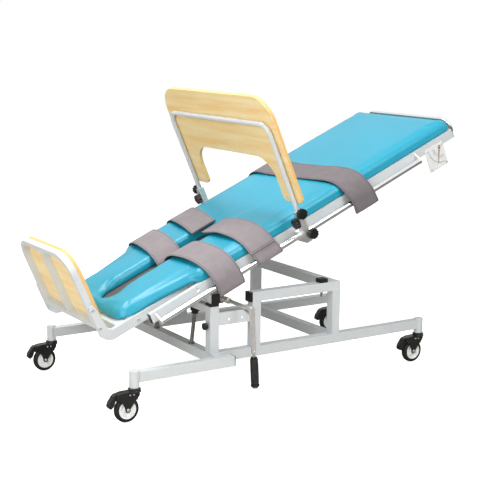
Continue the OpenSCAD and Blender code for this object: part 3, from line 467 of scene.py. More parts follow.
def enamel(name, code):
    """Screen-printed enamel ink: flat and slightly uneven, with a low gloss."""
    material, tree = new_material(name)
    ink = noise(tree, object_place(tree), 1.5, 2.0)
    return finish(material, Base_Color=between(tree, ink, shade(linear(code), 0.85), linear(code)),
                  Roughness=0.45, IOR=1.5)


# How far apart the straps' threads are, in millimetres
THREADS = 1.6


def strap_cloth(name, colour):
    """Nylon webbing cloth, plain weave bonded to foam: grey mauve with threads 1.6 mm apart, drawn about
    twice as coarse as the real ones so that they show, and a darker bound and stitched edge. The uv map
    holds metres along and across the strap, and across is counted from the nearer edge."""
    material, tree = new_material(name)
    uv = put(tree, "ShaderNodeUVMap", uv_map="uv").outputs[0]
    split = put(tree, "ShaderNodeSeparateXYZ", {"Vector": uv})
    step = 2 * math.pi / (THREADS * MM)
    waves = []
    for axis in "XY":
        angle = maths(tree, "MULTIPLY", split.outputs[axis], step)
        waves.append(maths(tree, "SINE", angle))
    weave = maths(tree, "MULTIPLY", *waves)
    edge = put(tree, "ShaderNodeAttribute", attribute_name="edge").outputs["Fac"]
    place = object_place(tree)
    cloud = noise(tree, place, 45.0, 3.0)
    body = between(tree, cloud, shade(colour, 0.86), shade(colour, 1.04))
    threads = blended(tree, between(tree, weave, 0.0, 0.5, -1.0, 1.0), body, shade(colour, 0.6))
    # The seam is a dark line 7.5 mm in from the edge, and the binding's rim is dark too
    line = maths(tree, "MULTIPLY", between(tree, edge, 0.0, 1.0, 5.4 * MM, 6.4 * MM),
                 between(tree, edge, 1.0, 0.0, 7.6 * MM, 8.6 * MM))
    rim = between(tree, edge, 0.6, 0.0, 0.8 * MM, 2.2 * MM)
    dark = maths(tree, "MULTIPLY", maths(tree, "MAXIMUM", line, rim), 0.75)
    return finish(material, bump_of(tree, weave, 0.12, 0.6), Roughness=0.78, IOR=1.5, Sheen_Weight=0.12,
                  Sheen_Roughness=0.4, Base_Color=blended(tree, dark, threads, shade(colour, 0.2)))


def loop_cloth(name):
    """Black brushed loop cloth on the underside of the straps: dull, with a short fuzzy nap."""
    material, tree = new_material(name)
    nap = noise(tree, object_place(tree), 1.3, 3.0)
    return finish(material, bump_of(tree, nap, 0.25, 0.9), Roughness=0.92, IOR=1.5, Sheen_Weight=0.1,
                  Base_Color=between(tree, nap, linear("#151414"), linear("#343231")))


# ---------------------------------------------------------------- sizes and colours


class TiltTableColours(bpy.types.PropertyGroup):
    pad: bpy.props.FloatVectorProperty(
        name="Pad", description="Colour of the leathercloth", subtype="COLOR", size=3,
        default=linear("#169DBA")[:3])
    straps: bpy.props.FloatVectorProperty(
        name="Straps", description="Colour of the leg straps", subtype="COLOR", size=3,
        default=linear("#948C91")[:3])
    coat: bpy.props.FloatVectorProperty(
        name="Powder coat", description="Colour of the frame", subtype="COLOR", size=3,
        default=linear("#D4D9DC")[:3])


class TiltTableSizes(bpy.types.PropertyGroup):
    strap_width: bpy.props.FloatProperty(
        name="Strap width", description="Width of the straps", default=0.125, min=0.1, max=0.13, unit="LENGTH")
    strap_thickness: bpy.props.FloatProperty(
        name="Strap thickness", description="Thickness of the straps", default=0.006, min=0.003, max=0.007,
        unit="LENGTH")
    pad_swell: bpy.props.FloatProperty(
        name="Pad swell", description="How far the pad's face may swell", default=0.005, min=0.0, max=0.01,
        unit="LENGTH")


# ---------------------------------------------------------------- pad

# The pad's length, width and thickness, and where its foot end and its underside lie
PAD_L, PAD_W, PAD_T = 1742.0, 642.0, 48.0
PAD_FROM, PAD_N = -92.0, 40.3
# The radius of its upper edge, the rise of its middle, and how far its sides draw in at the bottom
PAD_EDGE, PAD_CROWN, PAD_DRAW = 30.0, 4.0, 4.0
# The recess for the base board: how far it is from the pad's sides, and its depth
BASE_IN, BASE_T = 14.0, 6.3
# The slot between the legs: its width, the radius of its edge, and the centres of its round ends
SLOT_W, SLOT_EDGE = 100.0, 20.0
SLOT_ENDS = (13.0, 483.0)
# The pad's plan from the head's middle to the foot's: shares of its length and of half its width
PAD_PLAN = [[1, 0], [1, 0.35], [1, 0.7], [1, 0.88], [0.9955, 0.955], [0.985, 0.99], [0.97, 1], [0.85, 1],
            [0.7, 1], [0.55, 1], [0.46, 1], [0.38, 1], [0.3, 1], [0.25, 1], [0.205, 1], [0.196, 0.98],
            [0.186, 0.93], [0.17, 0.888], [0.09, 0.81], [0.042, 0.787], [0.018, 0.757], [0.006, 0.71],
            [0, 0.62], [0, 0.4], [0, 0.18], [0, 0]]
# Shares of the pad's thickness at its sides and at the slot, and of its edge radius, along its length
SIDE_HEIGHT = [[0, 0.88], [0.16, 0.9], [0.24, 1], [1, 1]]
SLOT_HEIGHT = [[0, 0.62], [0.03, 0.64], [0.09, 0.88], [0.16, 0.9], [0.24, 0.98], [0.36, 0.95], [0.4, 0.9]]
EDGE_RADIUS = [[0, 1.3], [0.03, 1.25], [0.1, 1.1], [0.2, 1], [0.9, 1], [1, 1.1]]
# The cloth simulation: its mesh, its frames and pressure, and how much of the pad's foot is held
VOXEL, SIM_FRAMES, PRESSURE, HELD = 6.0, 20, 4.0, 7.0


def at_share(share, table):
    """The table's value at each share."""
    return np.interp(share, *np.transpose(table))


def pad_grid(sections=420, steps=9):
    """The pad as a closed band round its slot. Each section runs from a point of the outer outline to the
    nearest point of the slot: up the side, round the upper edge, over the crown, down into the slot and
    back over the base board's recess."""
    half = np.array([[PAD_FROM + a * PAD_L, -b * PAD_W / 2] for a, b in PAD_PLAN])
    half = smooth_line(half, sections // 2 + 1)
    outline = np.vstack([half, half[-2:0:-1] * [1, -1]])
    d = unit(np.roll(outline, -1, axis=0) - np.roll(outline, 1, axis=0))
    inward = np.stack([d[:, 1], -d[:, 0]], axis=1)
    middle = np.stack([np.clip(outline[:, 0], *SLOT_ENDS), np.zeros(len(outline))], axis=1)
    away = unit(outline - middle)
    share = (outline[:, 0] - PAD_FROM) / PAD_L
    height = PAD_T * at_share(share, SIDE_HEIGHT)
    p, q = outline, middle + away * SLOT_W / 2
    slot_height = PAD_T * at_share((q[:, 0] - PAD_FROM) / PAD_L, SLOT_HEIGHT)
    edge = PAD_EDGE * at_share(share, EDGE_RADIUS)[:, None]
    a = np.linspace(0, math.pi / 2, steps)
    col = lambda xy, z: np.concatenate([xy, z[:, None]], axis=1)
    floor = np.zeros(len(p))
    rows = [col(p + inward * PAD_DRAW, floor), col(p + inward * 1.0, height * 0.08)]
    rows += [col(p + inward * edge * (1 - math.cos(t)), height - edge[:, 0] * (1 - math.sin(t))) for t in a]
    p_top, q_top = p + inward * edge, q + away * SLOT_EDGE
    reach = np.minimum(1, np.linalg.norm(p - q, axis=1) / PAD_W)
    for f in np.linspace(0, 1, 30)[1:-1]:
        m = p_top * (1 - f) + q_top * f
        crown = PAD_CROWN * (1 - (m[:, 1] / (PAD_W / 2)) ** 2) * reach * 1.6 * (1 - (2 * f - 1) ** 4)
        rows.append(col(m, height * (1 - f) + slot_height * f + crown))
    rows += [col(q + away * SLOT_EDGE * (1 - math.cos(t)), slot_height - SLOT_EDGE * (1 - math.sin(t)))
             for t in a[::-1]]
    rim = p + inward * BASE_IN
    rows += [col(rim * f + q * (1 - f), floor + BASE_T) for f in np.linspace(0, 1, 8)]
    rows.append(col(rim, floor))
    grid = np.stack(rows, axis=1)
    grid[..., 2] += PAD_N
    return grid


def inflate(obj, cap):
    """Foam under tight leathercloth: the mesh is remeshed, swells under a light pressure with its
    underside held, and no point moves further than cap."""
    remesh = obj.modifiers.new("Even mesh", "REMESH")
    remesh.mode = "VOXEL"
    remesh.voxel_size = VOXEL * MM
    remesh.use_smooth_shade = True
    apply_modifiers(obj)
    mesh = obj.data
    count = len(mesh.vertices)
    rest = np.empty(count * 3, np.float32)
    mesh.vertices.foreach_get("co", rest)
    rest = rest.reshape(-1, 3)
    height = (rest / MM - PIVOT) @ N_AXIS + PIVOT_ON_BED[2]
    held = obj.vertex_groups.new(name="held")
    held.add(np.flatnonzero(height < PAD_N + HELD).tolist(), 1.0, "REPLACE")
    cloth = obj.modifiers.new("Swell", "CLOTH")
    cloth.settings.use_pressure = True
    cloth.settings.uniform_pressure_force = PRESSURE
    cloth.settings.vertex_group_mass = "held"
    cloth.settings.effector_weights.gravity = 0.0
    cloth.settings.quality = 4
    cloth.point_cache.frame_start = 1
    cloth.point_cache.frame_end = SIM_FRAMES
    for number in range(1, SIM_FRAMES + 1):
        bpy.context.scene.frame_set(number)
    apply_modifiers(obj)
    mesh = obj.data
    moved = np.empty(count * 3, np.float32)
    mesh.vertices.foreach_get("co", moved)
    shift = moved.reshape(-1, 3) - rest
    size = np.linalg.norm(shift, axis=1, keepdims=True)
    shift *= cap * np.tanh(size / cap) / np.maximum(size, 1e-9)
    mesh.vertices.foreach_set("co", (rest + shift).ravel())
    mesh.update()
    bpy.context.scene.frame_set(1)
    return obj


def apply_modifiers(obj):
    """Replaces the mesh with what its modifiers make of it."""
    graph = bpy.context.evaluated_depsgraph_get()
    graph.update()
    old = obj.data
    obj.data = bpy.data.meshes.new_from_object(obj.evaluated_get(graph))
    obj.modifiers.clear()
    bpy.data.meshes.remove(old)
    return obj


# ---------------------------------------------------------------- straps

# How far from the bed's middle a strap passes round the accessory rail, and the height of the pad's top.
# The paths below hold shares of these two, from the slot outward.
STRAP_REACH, STRAP_TOP = 361.8, 88.3
FALL = [[0.81, 1.05], [0.89, 0.86], [0.945, 0.6], [0.985, 0.3], [1, 0.02]]
LEG_TOP = [[0.24, 1.2], [0.4, 1.28], [0.56, 1.27], [0.7, 1.19]]
SHIN_BAND = [[0.02, 0.57], [0.045, 0.78], [0.12, 1.02]] + LEG_TOP + FALL + [[1, -0.25], [0.985, -0.46]]
THIGH_BAND = [[0.055, 1.09], [0.13, 1.12]] + LEG_TOP + FALL[:3] + [[0.965, 0.47]]
THIGH_LOOP = [[0.915, 0.66], [0.95, 0.42], [0.988, 0.16], [1, 0], [0.99, -0.12], [0.955, -0.2]]
CHEST_TUCK = [[-0.965, -0.3], [-0.975, -0.5], [-0.99, -0.55], [-1.0, -0.45]]
CHEST_TOP = [[-0.66, 1.17], [-0.4, 1.17], [0, 1.15], [0.4, 1.17], [0.66, 1.17]]
CHEST_BAND = CHEST_TUCK + [[-a, b] for a, b in FALL[::-1]] + CHEST_TOP + FALL + [[1, -0.25]]
# Where each strap's middle is along the bed, at even shares of its path
SHIN_AT = {"near": [351, 346, 338, 332, 326], "far": [300, 312, 325, 338, 347]}
THIGH_AT = {"near": [543, 540, 536, 530], "far": [505, 520, 536, 547]}
LOOP_AT = {"near": [561, 553, 545], "far": [547, 549, 551]}
CHEST_AT = [1074, 1060, 1050, 1040, 1028, 1020, 1016, 1014, 1014]
# The soft waves of a strap: radians for each metre along it and for each half width across it, the
# phase, and the share of the ripple
WAVES = ((39.9, 2.2, 0.0, 0.6), (47.0, -3.1, 1.3, 0.4))
# The groove of the stitched seam: how far it is from the edge, its half width and its depth
SEAM_IN, SEAM_HALF, SEAM_DEPTH = 7.0, 1.3, 0.7


def strap(name, path, middle, width, thick, stations, ripple):
    """A strap as a flat band carried along a path across the bed. Path holds y and n in millimetres, and
    middle the place of the strap's middle along the bed at even shares of the path. Its section is a
    flat oval with a groove where the edge is stitched, and ripple lifts it in soft waves."""
    line = smooth_line(path, stations)
    d = unit(np.gradient(line, axis=0))
    out = np.stack([-d[:, 1], d[:, 0]], axis=1)
    along = length_along(line)
    centre = np.interp(along / along[-1], np.linspace(0, 1, len(middle)), middle)
    half, rim = width / 2, thick / 2
    flat = np.linspace(-(half - rim), half - rim, 41)
    bend = np.linspace(-math.pi / 2, math.pi / 2, 9)[1:-1]
    groove = SEAM_DEPTH * np.exp(-(((half - np.abs(flat)) - SEAM_IN) / SEAM_HALF) ** 2)
    out_x, out_z = half - rim + rim * np.cos(bend), rim * np.sin(bend)
    across = np.concatenate([flat, out_x, flat[::-1], -out_x])
    lift = np.concatenate([-rim + 0.4 * groove, out_z, rim - groove[::-1], -out_z])
    u = along[:, None] * MM
    v = across[None, :] / half
    waves = sum(share * np.sin(a * u + b * v + phase) for a, b, phase, share in WAVES)
    b = lift[None, :] + ripple * waves * (0.35 + 0.65 * v**2)
    s = centre[:, None] + across[None, :]
    y = line[:, :1] + out[:, :1] * b
    n = line[:, 1:] + out[:, 1:] * b
    points = on_bed(np.stack([s, y, n], axis=-1))
    girth = np.concatenate([across, across[:1]]) * MM
    obj = surface(name, points, around_v=True, caps=(0, 1), measures=(np.append(along, along[-1]) * MM, girth))
    edge = np.broadcast_to(half - np.abs(across), (stations, len(across))) * MM
    ends = np.minimum(along, along[-1] - along)[:, None] * MM
    attribute = obj.data.attributes.new("edge", "FLOAT", "POINT")
    attribute.data.foreach_set("value", np.minimum(edge, ends + 0.0005).astype(np.float32).ravel())
    under = np.zeros((stations - 1, len(across)), np.int32)
    under[:, : len(flat) + 3] = 1
    under[:, -3:] = 1
    index = np.concatenate([under.ravel(), [0, 0]])
    return obj, index


# ---------------------------------------------------------------- operators


class TILT_OT_pad(bpy.types.Operator):
    """The upholstered pad with its leg slot."""

    bl_idname = "tilt_table.pad"
    bl_label = "Pad"

    def execute(self, context):
        obj = face_outward(surface("pad_cushion", on_bed(pad_grid()), around_u=True, around_v=True))
        inflate(obj, context.scene.tilt_table_sizes.pad_swell)
        obj.data.shade_smooth()
        paint(obj, leathercloth("PVC leathercloth, turquoise", context.scene.tilt_table_colours.pad))
        stands_for(obj, "pad")
        paint(softened("pad_base", 0.5), backing_cloth("Non-woven backing cloth, grey, darkened as painted shade"))
        return {"FINISHED"}


class TILT_OT_straps(bpy.types.Operator):
    """The two shin straps, the two thigh straps and the chest strap."""

    bl_idname = "tilt_table.straps"
    bl_label = "Straps"

    def execute(self, context):
        sizes = context.scene.tilt_table_sizes
        width, thick = sizes.strap_width / MM, sizes.strap_thickness / MM
        colours = context.scene.tilt_table_colours
        leg = strap_cloth("Nylon strap cloth, grey mauve", colours.straps)
        # The chest strap is the same cloth as the leg straps, drawn at 0.68 of their colour: painted shade for
        # the darker look of its top.
        chest = strap_cloth("Nylon strap cloth, mauve, darkened as painted shade", shade(colours.straps, 0.68))
        under = loop_cloth("Brushed loop cloth, black")

        def lay(name, shares, side, middle, cloth, stations, ripple):
            path = np.array(shares) * [side * STRAP_REACH, STRAP_TOP]
            obj, index = strap(name, path[::side], middle, width, thick, stations, ripple)
            return paint(obj, cloth, under, slots=index)

        for kind, shares, at, stations, ripple in (
            ("shin_strap", SHIN_BAND, SHIN_AT, 130, 0.8),
            ("thigh_strap", THIGH_BAND, THIGH_AT, 130, 0.8),
            ("thigh_loop", THIGH_LOOP, LOOP_AT, 60, 1.2),
        ):
            near = lay(kind + "_near", shares, -1, at["near"], leg, stations, ripple)
            far = lay(kind + "_far", shares, 1, at["far"], leg, stations, ripple)
            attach(far, "bed")
            if kind == "thigh_loop":
                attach(near, "bed")
            else:
                stands_for(near, kind + "s")
        stands_for(lay("chest_strap_band", CHEST_BAND, 1, CHEST_AT, chest, 260, 1.0), "chest_strap")
        return {"FINISHED"}


class TILT_OT_frame(bpy.types.Operator):
    """The powder-coated tubes of the base and the bed, with their caps."""

    bl_idname = "tilt_table.frame"
    bl_label = "Frame"

    def execute(self, context):
        coat = powder_coat("Powder coat, light grey", context.scene.tilt_table_colours.coat)
        dress(("leg_rails", "lower_rails", "cross_tubes", "posts", "upper_rails", "pivot_beam"), 2.0, coat, 3)
        dress(["side_plates"], 0.8, coat, 3)
        dress(("caster_sockets", "side_rails", "bed_cross_tubes", "leg_bars", "footboard_frame"), 2.0, coat, 3)
        dress(("frame_caps", "side_rail_caps"), 0.8, moulded_black("Polyethylene caps, black"))
        return {"FINISHED"}


class TILT_OT_metal(bpy.types.Operator):
    """The chromed rails, the steel pieces of the drive and the fittings."""

    bl_idname = "tilt_table.metal"
    bl_label = "Bright metal"

    def execute(self, context):
        colour = context.scene.tilt_table_colours.coat
        zinc = satin_metal("Zinc-plated steel")
        nickel = satin_metal("Nickel-plated steel, blasted", "#FDFBF7", 0.46)
        dress(("accessory_rails", "push_handle"), 0.6, chromed("Bright chrome plate"))
        dress(["stop_rods"], 0.6, satin_metal("Steel rod, turned and oiled", "#98928C"))
        dress(("pivot_pins", "jack_housing", "jack_screw"), 0.6, zinc)
        dress(("crank", "crank_link", "bed_screws", "tray_clamps", "hinge_brackets", "rail_brackets"), 0.8,
              nickel)
        dress(["tray_tube"], 0.6, powder_coat("Powder coat, silver tube", shade(colour, 1.05)))
        return {"FINISHED"}


class TILT_OT_boards(bpy.types.Operator):
    """The plywood tray board and footboard panel."""

    bl_idname = "tilt_table.boards"
    bl_label = "Wooden boards"

    def execute(self, context):
        face = beech_face("Beech plywood face, lacquered", (0, TILT, 0))
        edge = ply_edge("Plywood edge, sanded", (0, TILT, 0))
        for node in ("tray_board", "footboard_panel"):
            obj = softened(node, 2.0, 3)
            normals = np.empty(len(obj.data.polygons) * 3, np.float32)
            obj.data.polygons.foreach_get("normal", normals)
            paint(obj, face, edge, slots=np.abs(normals.reshape(-1, 3) @ S_AXIS) < 0.5)
        return {"FINISHED"}


# ---------------------------------------------------------------- crank grip

# Where the arm starts in the frame and how it leans; how far down the arm the grip is, its length and
# its radius; and its ribs' pitch in millimetres and depth as a share of its radius
CRANK_AT, ARM_LEAN = np.array([-215.0, -437.0, 380.0]), math.radians(3.5)
GRIP_FROM, GRIP_L, GRIP_R = 195.0, 123.0, 17.6
GRIP_RIB, GRIP_GROOVE = 6.5, 0.045


class TILT_OT_black(bpy.types.Operator):
    """The hand knobs, rubber buffers, stop caps and the crank's grip."""

    bl_idname = "tilt_table.black"
    bl_label = "Knobs and rubber"

    def execute(self, context):
        soft = rubber("Rubber, moulded")
        dress(("buffers", "stop_caps"), 0.8, soft)
        self.add_grip(rubber("Rubber grip, dark brown grey", "#2B2926"))
        knobs = ["post_knob"] + [f"knob_{k}_{side}" for k in "abc" for side in ("near", "far")]
        dress(knobs, 0.8, moulded_black("Polyamide, moulded black"))
        return {"FINISHED"}

    def add_grip(self, material):
        """A barrel with fine ribs between a small upper and a wide lower flange."""
        down = np.array([math.sin(ARM_LEAN), 0, -math.cos(ARM_LEAN)])
        z = np.linspace(7, GRIP_L - 12, 105)
        barrel = 0.9 + 0.05 * np.sin(math.pi * z / GRIP_L)
        barrel = barrel - GRIP_GROOVE * (np.sin(2 * math.pi * z / GRIP_RIB) > 0.2)
        body = np.stack([GRIP_R * barrel, z], axis=1)
        top = [[5.1, 0.2], [12, 0.2], [13, 1], [13, 4], [11.8, 6]]
        foot = [[12.4, -10], [GRIP_R, -8], [GRIP_R, -2], [13, -0.2], [5.1, -0.2]]
        profile = np.vstack([top, body, np.array(foot) + [0, GRIP_L]])
        obj = turned("crank_grip_finish", profile, axis_frame(CRANK_AT + down * GRIP_FROM, down, (0, 1, 0)), 48)
        obj.data.set_sharp_from_angle(angle=math.radians(50))
        stands_for(paint(obj, material), "crank_grip")


# ---------------------------------------------------------------- casters

# Where the swivel axes are in the frame. All else is in millimetres round that axis, z up from the floor.
CASTER_AT = {"foot": (-710.0, 392.5), "head": (755.0, 312.5)}
AXLE = (-35.0, 50.0)
# The arc of the cover over the wheel, and the rivets' x, z and radius
ARC_R, ARC_FROM, ARC_TO = 53.0, 139.0, 38.0
RIVETS = ((*AXLE, 6.4), (-10.0, 107.0, 3.2), (-26.0, 107.0, 3.2))
# Outlines of a cheek, the cover and the pedal: x, z and how far the corner is cut back
CHEEK = [[15, 121, 3], [-58, 119, 8], [-83, 113, 7], [-84, 97, 6], [-66, 90, 8], [-50, 68, 12], [-45, 50, 2],
         [-45, 43, 3], [-39, 40, 3], [-31, 40, 3], [-25.5, 44, 3], [-25, 54, 4], [-2, 82, 10], [15, 102, 6]]
COVER = [[14, 120, 3], [-56, 118, 8], [-82, 112, 7], [-83, 99, 4], [-73.5, 87.5, 1]]
PEDAL = [[-72, 117, 4], [-86, 116, 6], [-110, 83, 3], [-113, 71, 3], [-105, 61, 4], [-92, 71, 6], [-84, 94, 6],
         [-72, 97, 4]]
# The pedal's ribs lie along a line from this x and z, and the line goes this far
RIBS_FROM, RIBS_REACH = (-88.0, 113.0), (-21.5, -30.0)
# Profiles of the crown (round the swivel axis), the tyre and the disc (round the axle): radius, height
CROWN = [[0, 128.9], [19.5, 128.9], [23, 128.2], [24.6, 126.4], [24.6, 124.4], [22.4, 122.6], [22.2, 121.8],
         [25, 120], [26, 117.6], [25.4, 114.6], [21, 112], [15, 111], [0, 111]]
TYRE = [[35.5, -11.9], [40, -12.3], [44.5, -11.8], [47.8, -9.8], [49.6, -6], [50, -2], [50, 2], [49.6, 6],
        [47.8, 9.8], [44.5, 11.8], [40, 12.3], [35.5, 11.9]]
DISC = [[35.5, 11.9], [34, 10.6], [32.6, 8.2], [31.2, 7.8], [24, 7.6], [22.8, 6.4], [14, 6.2], [12.6, 7.8],
        [12, 11.5], [5.2, 12]]


class TILT_OT_casters(bpy.types.Operator):
    """The four braked casters."""

    bl_idname = "tilt_table.casters"
    bl_label = "Casters"

    def execute(self, context):
        black = moulded_black("Polyamide fork, black", "#181716")
        tyre = rubber("Rubber tyre")
        pale = pale_plastic("Polypropylene wheel centre", "#FBFCFB")
        steel = satin_metal("Zinc-plated axle caps", "#E9EAEA")
        for end, (x, y) in CASTER_AT.items():
            for side, sign in (("near", -1), ("far", 1)):
                origin = np.array([x, sign * y, 0.0])
                self.add_fork(f"fork_{end}_{side}", origin, black, steel)
                self.add_wheel(f"wheel_{end}_{side}", origin, tyre, pale)
                self.add_pedal(f"pedal_{end}_{side}", origin, black)
        return {"FINISHED"}

    def add_fork(self, node, origin, black, steel):
        """Two cheeks, the cover between them over the wheel, the dished crown, and the steel axle caps
        and rivets."""
        place = lambda p: MM * (origin + p)
        arc = np.radians(np.linspace(ARC_FROM, ARC_TO, 20))
        under = np.stack([AXLE[0] + ARC_R * np.cos(arc), AXLE[1] + ARC_R * np.sin(arc), 0 * arc], axis=1)
        cover = cut_corners(np.vstack([COVER, under]), 4)
        parts = [prism(node + "_cover", cover, -13.8, 13.8, place)]
        cheek = cut_corners(CHEEK)
        parts += [prism(node + "_cheek", cheek, low, low + 3.2, place) for low in (-17.2, 14.0)]
        parts.append(turned(node + "_crown", CROWN, axis_frame(origin, (0, 0, 1), (1, 0, 0))))
        for part in parts:
            paint(part, black)
        for x, z, r in RIVETS:
            dome = [[0, -1], [r, -1], [r, 0.9], [r * 0.8, 1.9], [r * 0.4, 2.4], [0, 2.5]]
            for sign in (-1, 1):
                at = axis_frame(origin + [x, sign * 17.0, z], (0, sign, 0), (1, 0, 0))
                parts.append(paint(turned(node + "_cap", dome, at, 24), steel))
        stands_for(rounded(joined(parts, node + "_finish"), 0.7), node)

    def add_wheel(self, node, origin, tyre, pale):
        """A rounded rubber tyre on a pale wheel centre with a stepped rim."""
        at = axis_frame(origin + [AXLE[0], 0, AXLE[1]], (0, 1, 0), (1, 0, 0))
        back = [[r, -z] for r, z in DISC[::-1]]
        profile = TYRE[:-1] + DISC + back[:-1]
        obj = turned(node + "_finish", profile, at, 72)
        paint(obj, tyre, pale, slots=np.repeat(np.arange(len(profile)) >= len(TYRE) - 1, 72))
        obj.data.set_sharp_from_angle(angle=math.radians(40))
        stands_for(obj, node)

    def add_pedal(self, node, origin, black):
        """The brake pedal: a bent blade with ribs across its tread."""
        place = lambda p: MM * (origin + p)
        parts = [prism(node + "_blade", cut_corners(PEDAL), -13.0, 13.0, place)]
        for share in np.linspace(0.15, 0.95, 7):
            x, z = (a + b * share for a, b in zip(RIBS_FROM, RIBS_REACH))
            rib = [[x - 2.4, z + 1.0, 0.6], [x - 0.4, z + 3.2, 0.6], [x + 2.4, z - 1.0, 0.6], [x, z - 4, 0.6]]
            parts.append(prism(node + "_rib", cut_corners(rib, 3), -13.4, 13.4, place))
        for part in parts:
            paint(part, black)
        stands_for(rounded(joined(parts, node + "_finish"), 0.6), node)


# ---------------------------------------------------------------- angle gauge

# In bed coordinates: the arcs' radii and widths, the needle's pin, the plate's corners, and the marks' y
GAUGE_ARCS = ((42.0, 1.2), (73.0, 1.4))
GAUGE_PIN = np.array([1554.0, 1.0])
GAUGE_PLATE = ([1463.0, -89.0], [1567.0, 15.0])
GAUGE_Y = -328.2
# The ticks: their step in degrees, the radii of their ends, and their width
GAUGE_TICKS = ((5.0, 46, 52, 0.8), (15.0, 46, 57, 1.3), (5.0, 75, 79, 0.8))


class TILT_OT_gauge(bpy.types.Operator):
    """The angle gauge with its hanging needle."""

    bl_idname = "tilt_table.gauge"
    bl_label = "Angle gauge"

    def execute(self, context):
        paint(softened("gauge_plate", 0.8), pale_plastic("Gauge plate, moulded white", "#F2F3F2"))
        paint(softened("gauge_needle", 0.2), satin_metal("Needle, brass", "#C9B48A"))
        self.add_marks()
        return {"FINISHED"}

    def add_marks(self):
        """The printed scale: two arcs round the needle's pin and a tick for each 5 degrees, each a flat
        quad 0.15 mm before the plate."""
        corners = []
        for radius, wide in GAUGE_ARCS:
            a = np.radians(np.arange(0, 91, 3.0))
            arc = lambda r: np.stack([-r * np.cos(a), -r * np.sin(a)], axis=1)
            inner, outer = arc(radius), arc(radius + wide)
            corners.append(np.stack([inner[:-1], inner[1:], outer[1:], outer[:-1]], axis=1))
        for step, start, end, wide in GAUGE_TICKS:
            a = np.radians(np.arange(0, 91, step))
            ray = np.stack([-np.cos(a), -np.sin(a)], axis=1)
            side = np.stack([np.sin(a), -np.cos(a)], axis=1) * wide / 2
            low, high = start * ray, end * ray
            corners.append(np.stack([low - side, high - side, high + side, low + side], axis=1))
        flat = np.clip(np.vstack(corners) + GAUGE_PIN, *GAUGE_PLATE)
        points = on_bed(np.stack([flat[..., 0], np.full(flat.shape[:2], GAUGE_Y), flat[..., 1]], axis=-1))
        marks = add_mesh("gauge_marks", points, np.arange(4 * len(flat)).reshape(-1, 4).tolist())
        paint(marks, enamel("Screen-printed enamel, slate blue", "#4C5A68"))
        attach(marks, "bed")


# ---------------------------------------------------------------- stage

# The photograph's camera, solved from the object's straight edges
CAMERA_AT = np.array([-2.61665, -4.14580, 1.45941])
CAMERA_YAW, CAMERA_PITCH, CAMERA_ROLL = 32.293, 10.300, 0.4816
CAMERA_FOCAL_PIXELS, PICTURE_PIXELS, SENSOR = 1157.42, 480, 36.0
# Each soft box: its place, what it points at, its size and its power
LAMPS = {
    "key": ((0.2, -2.5, 3.2), (-0.1, 0.0, 0.6), 1.5, 54.0),
    "foot": ((-3.1, -1.5, 1.9), (-0.1, 0.0, 0.9), 1.4, 40.0),
    "fill": ((-2.2, -3.9, 1.6), (-0.2, 0.0, 0.5), 2.4, 16.0),
    "top": ((-0.7, 0.4, 3.2), (-0.3, 0.0, 0.6), 1.5, 64.0),
}
# Half the floor's side, and how bright it glows for the camera
FLOOR_HALF, FLOOR_GLOW = 8.0, 0.84
# The world's light on the object, and in reflections its lowest and highest brightness and the two
# heights between which it rises
WORLD_LIGHT, HORIZON = 0.38, (0.05, 1.0, 0.06, 0.3)


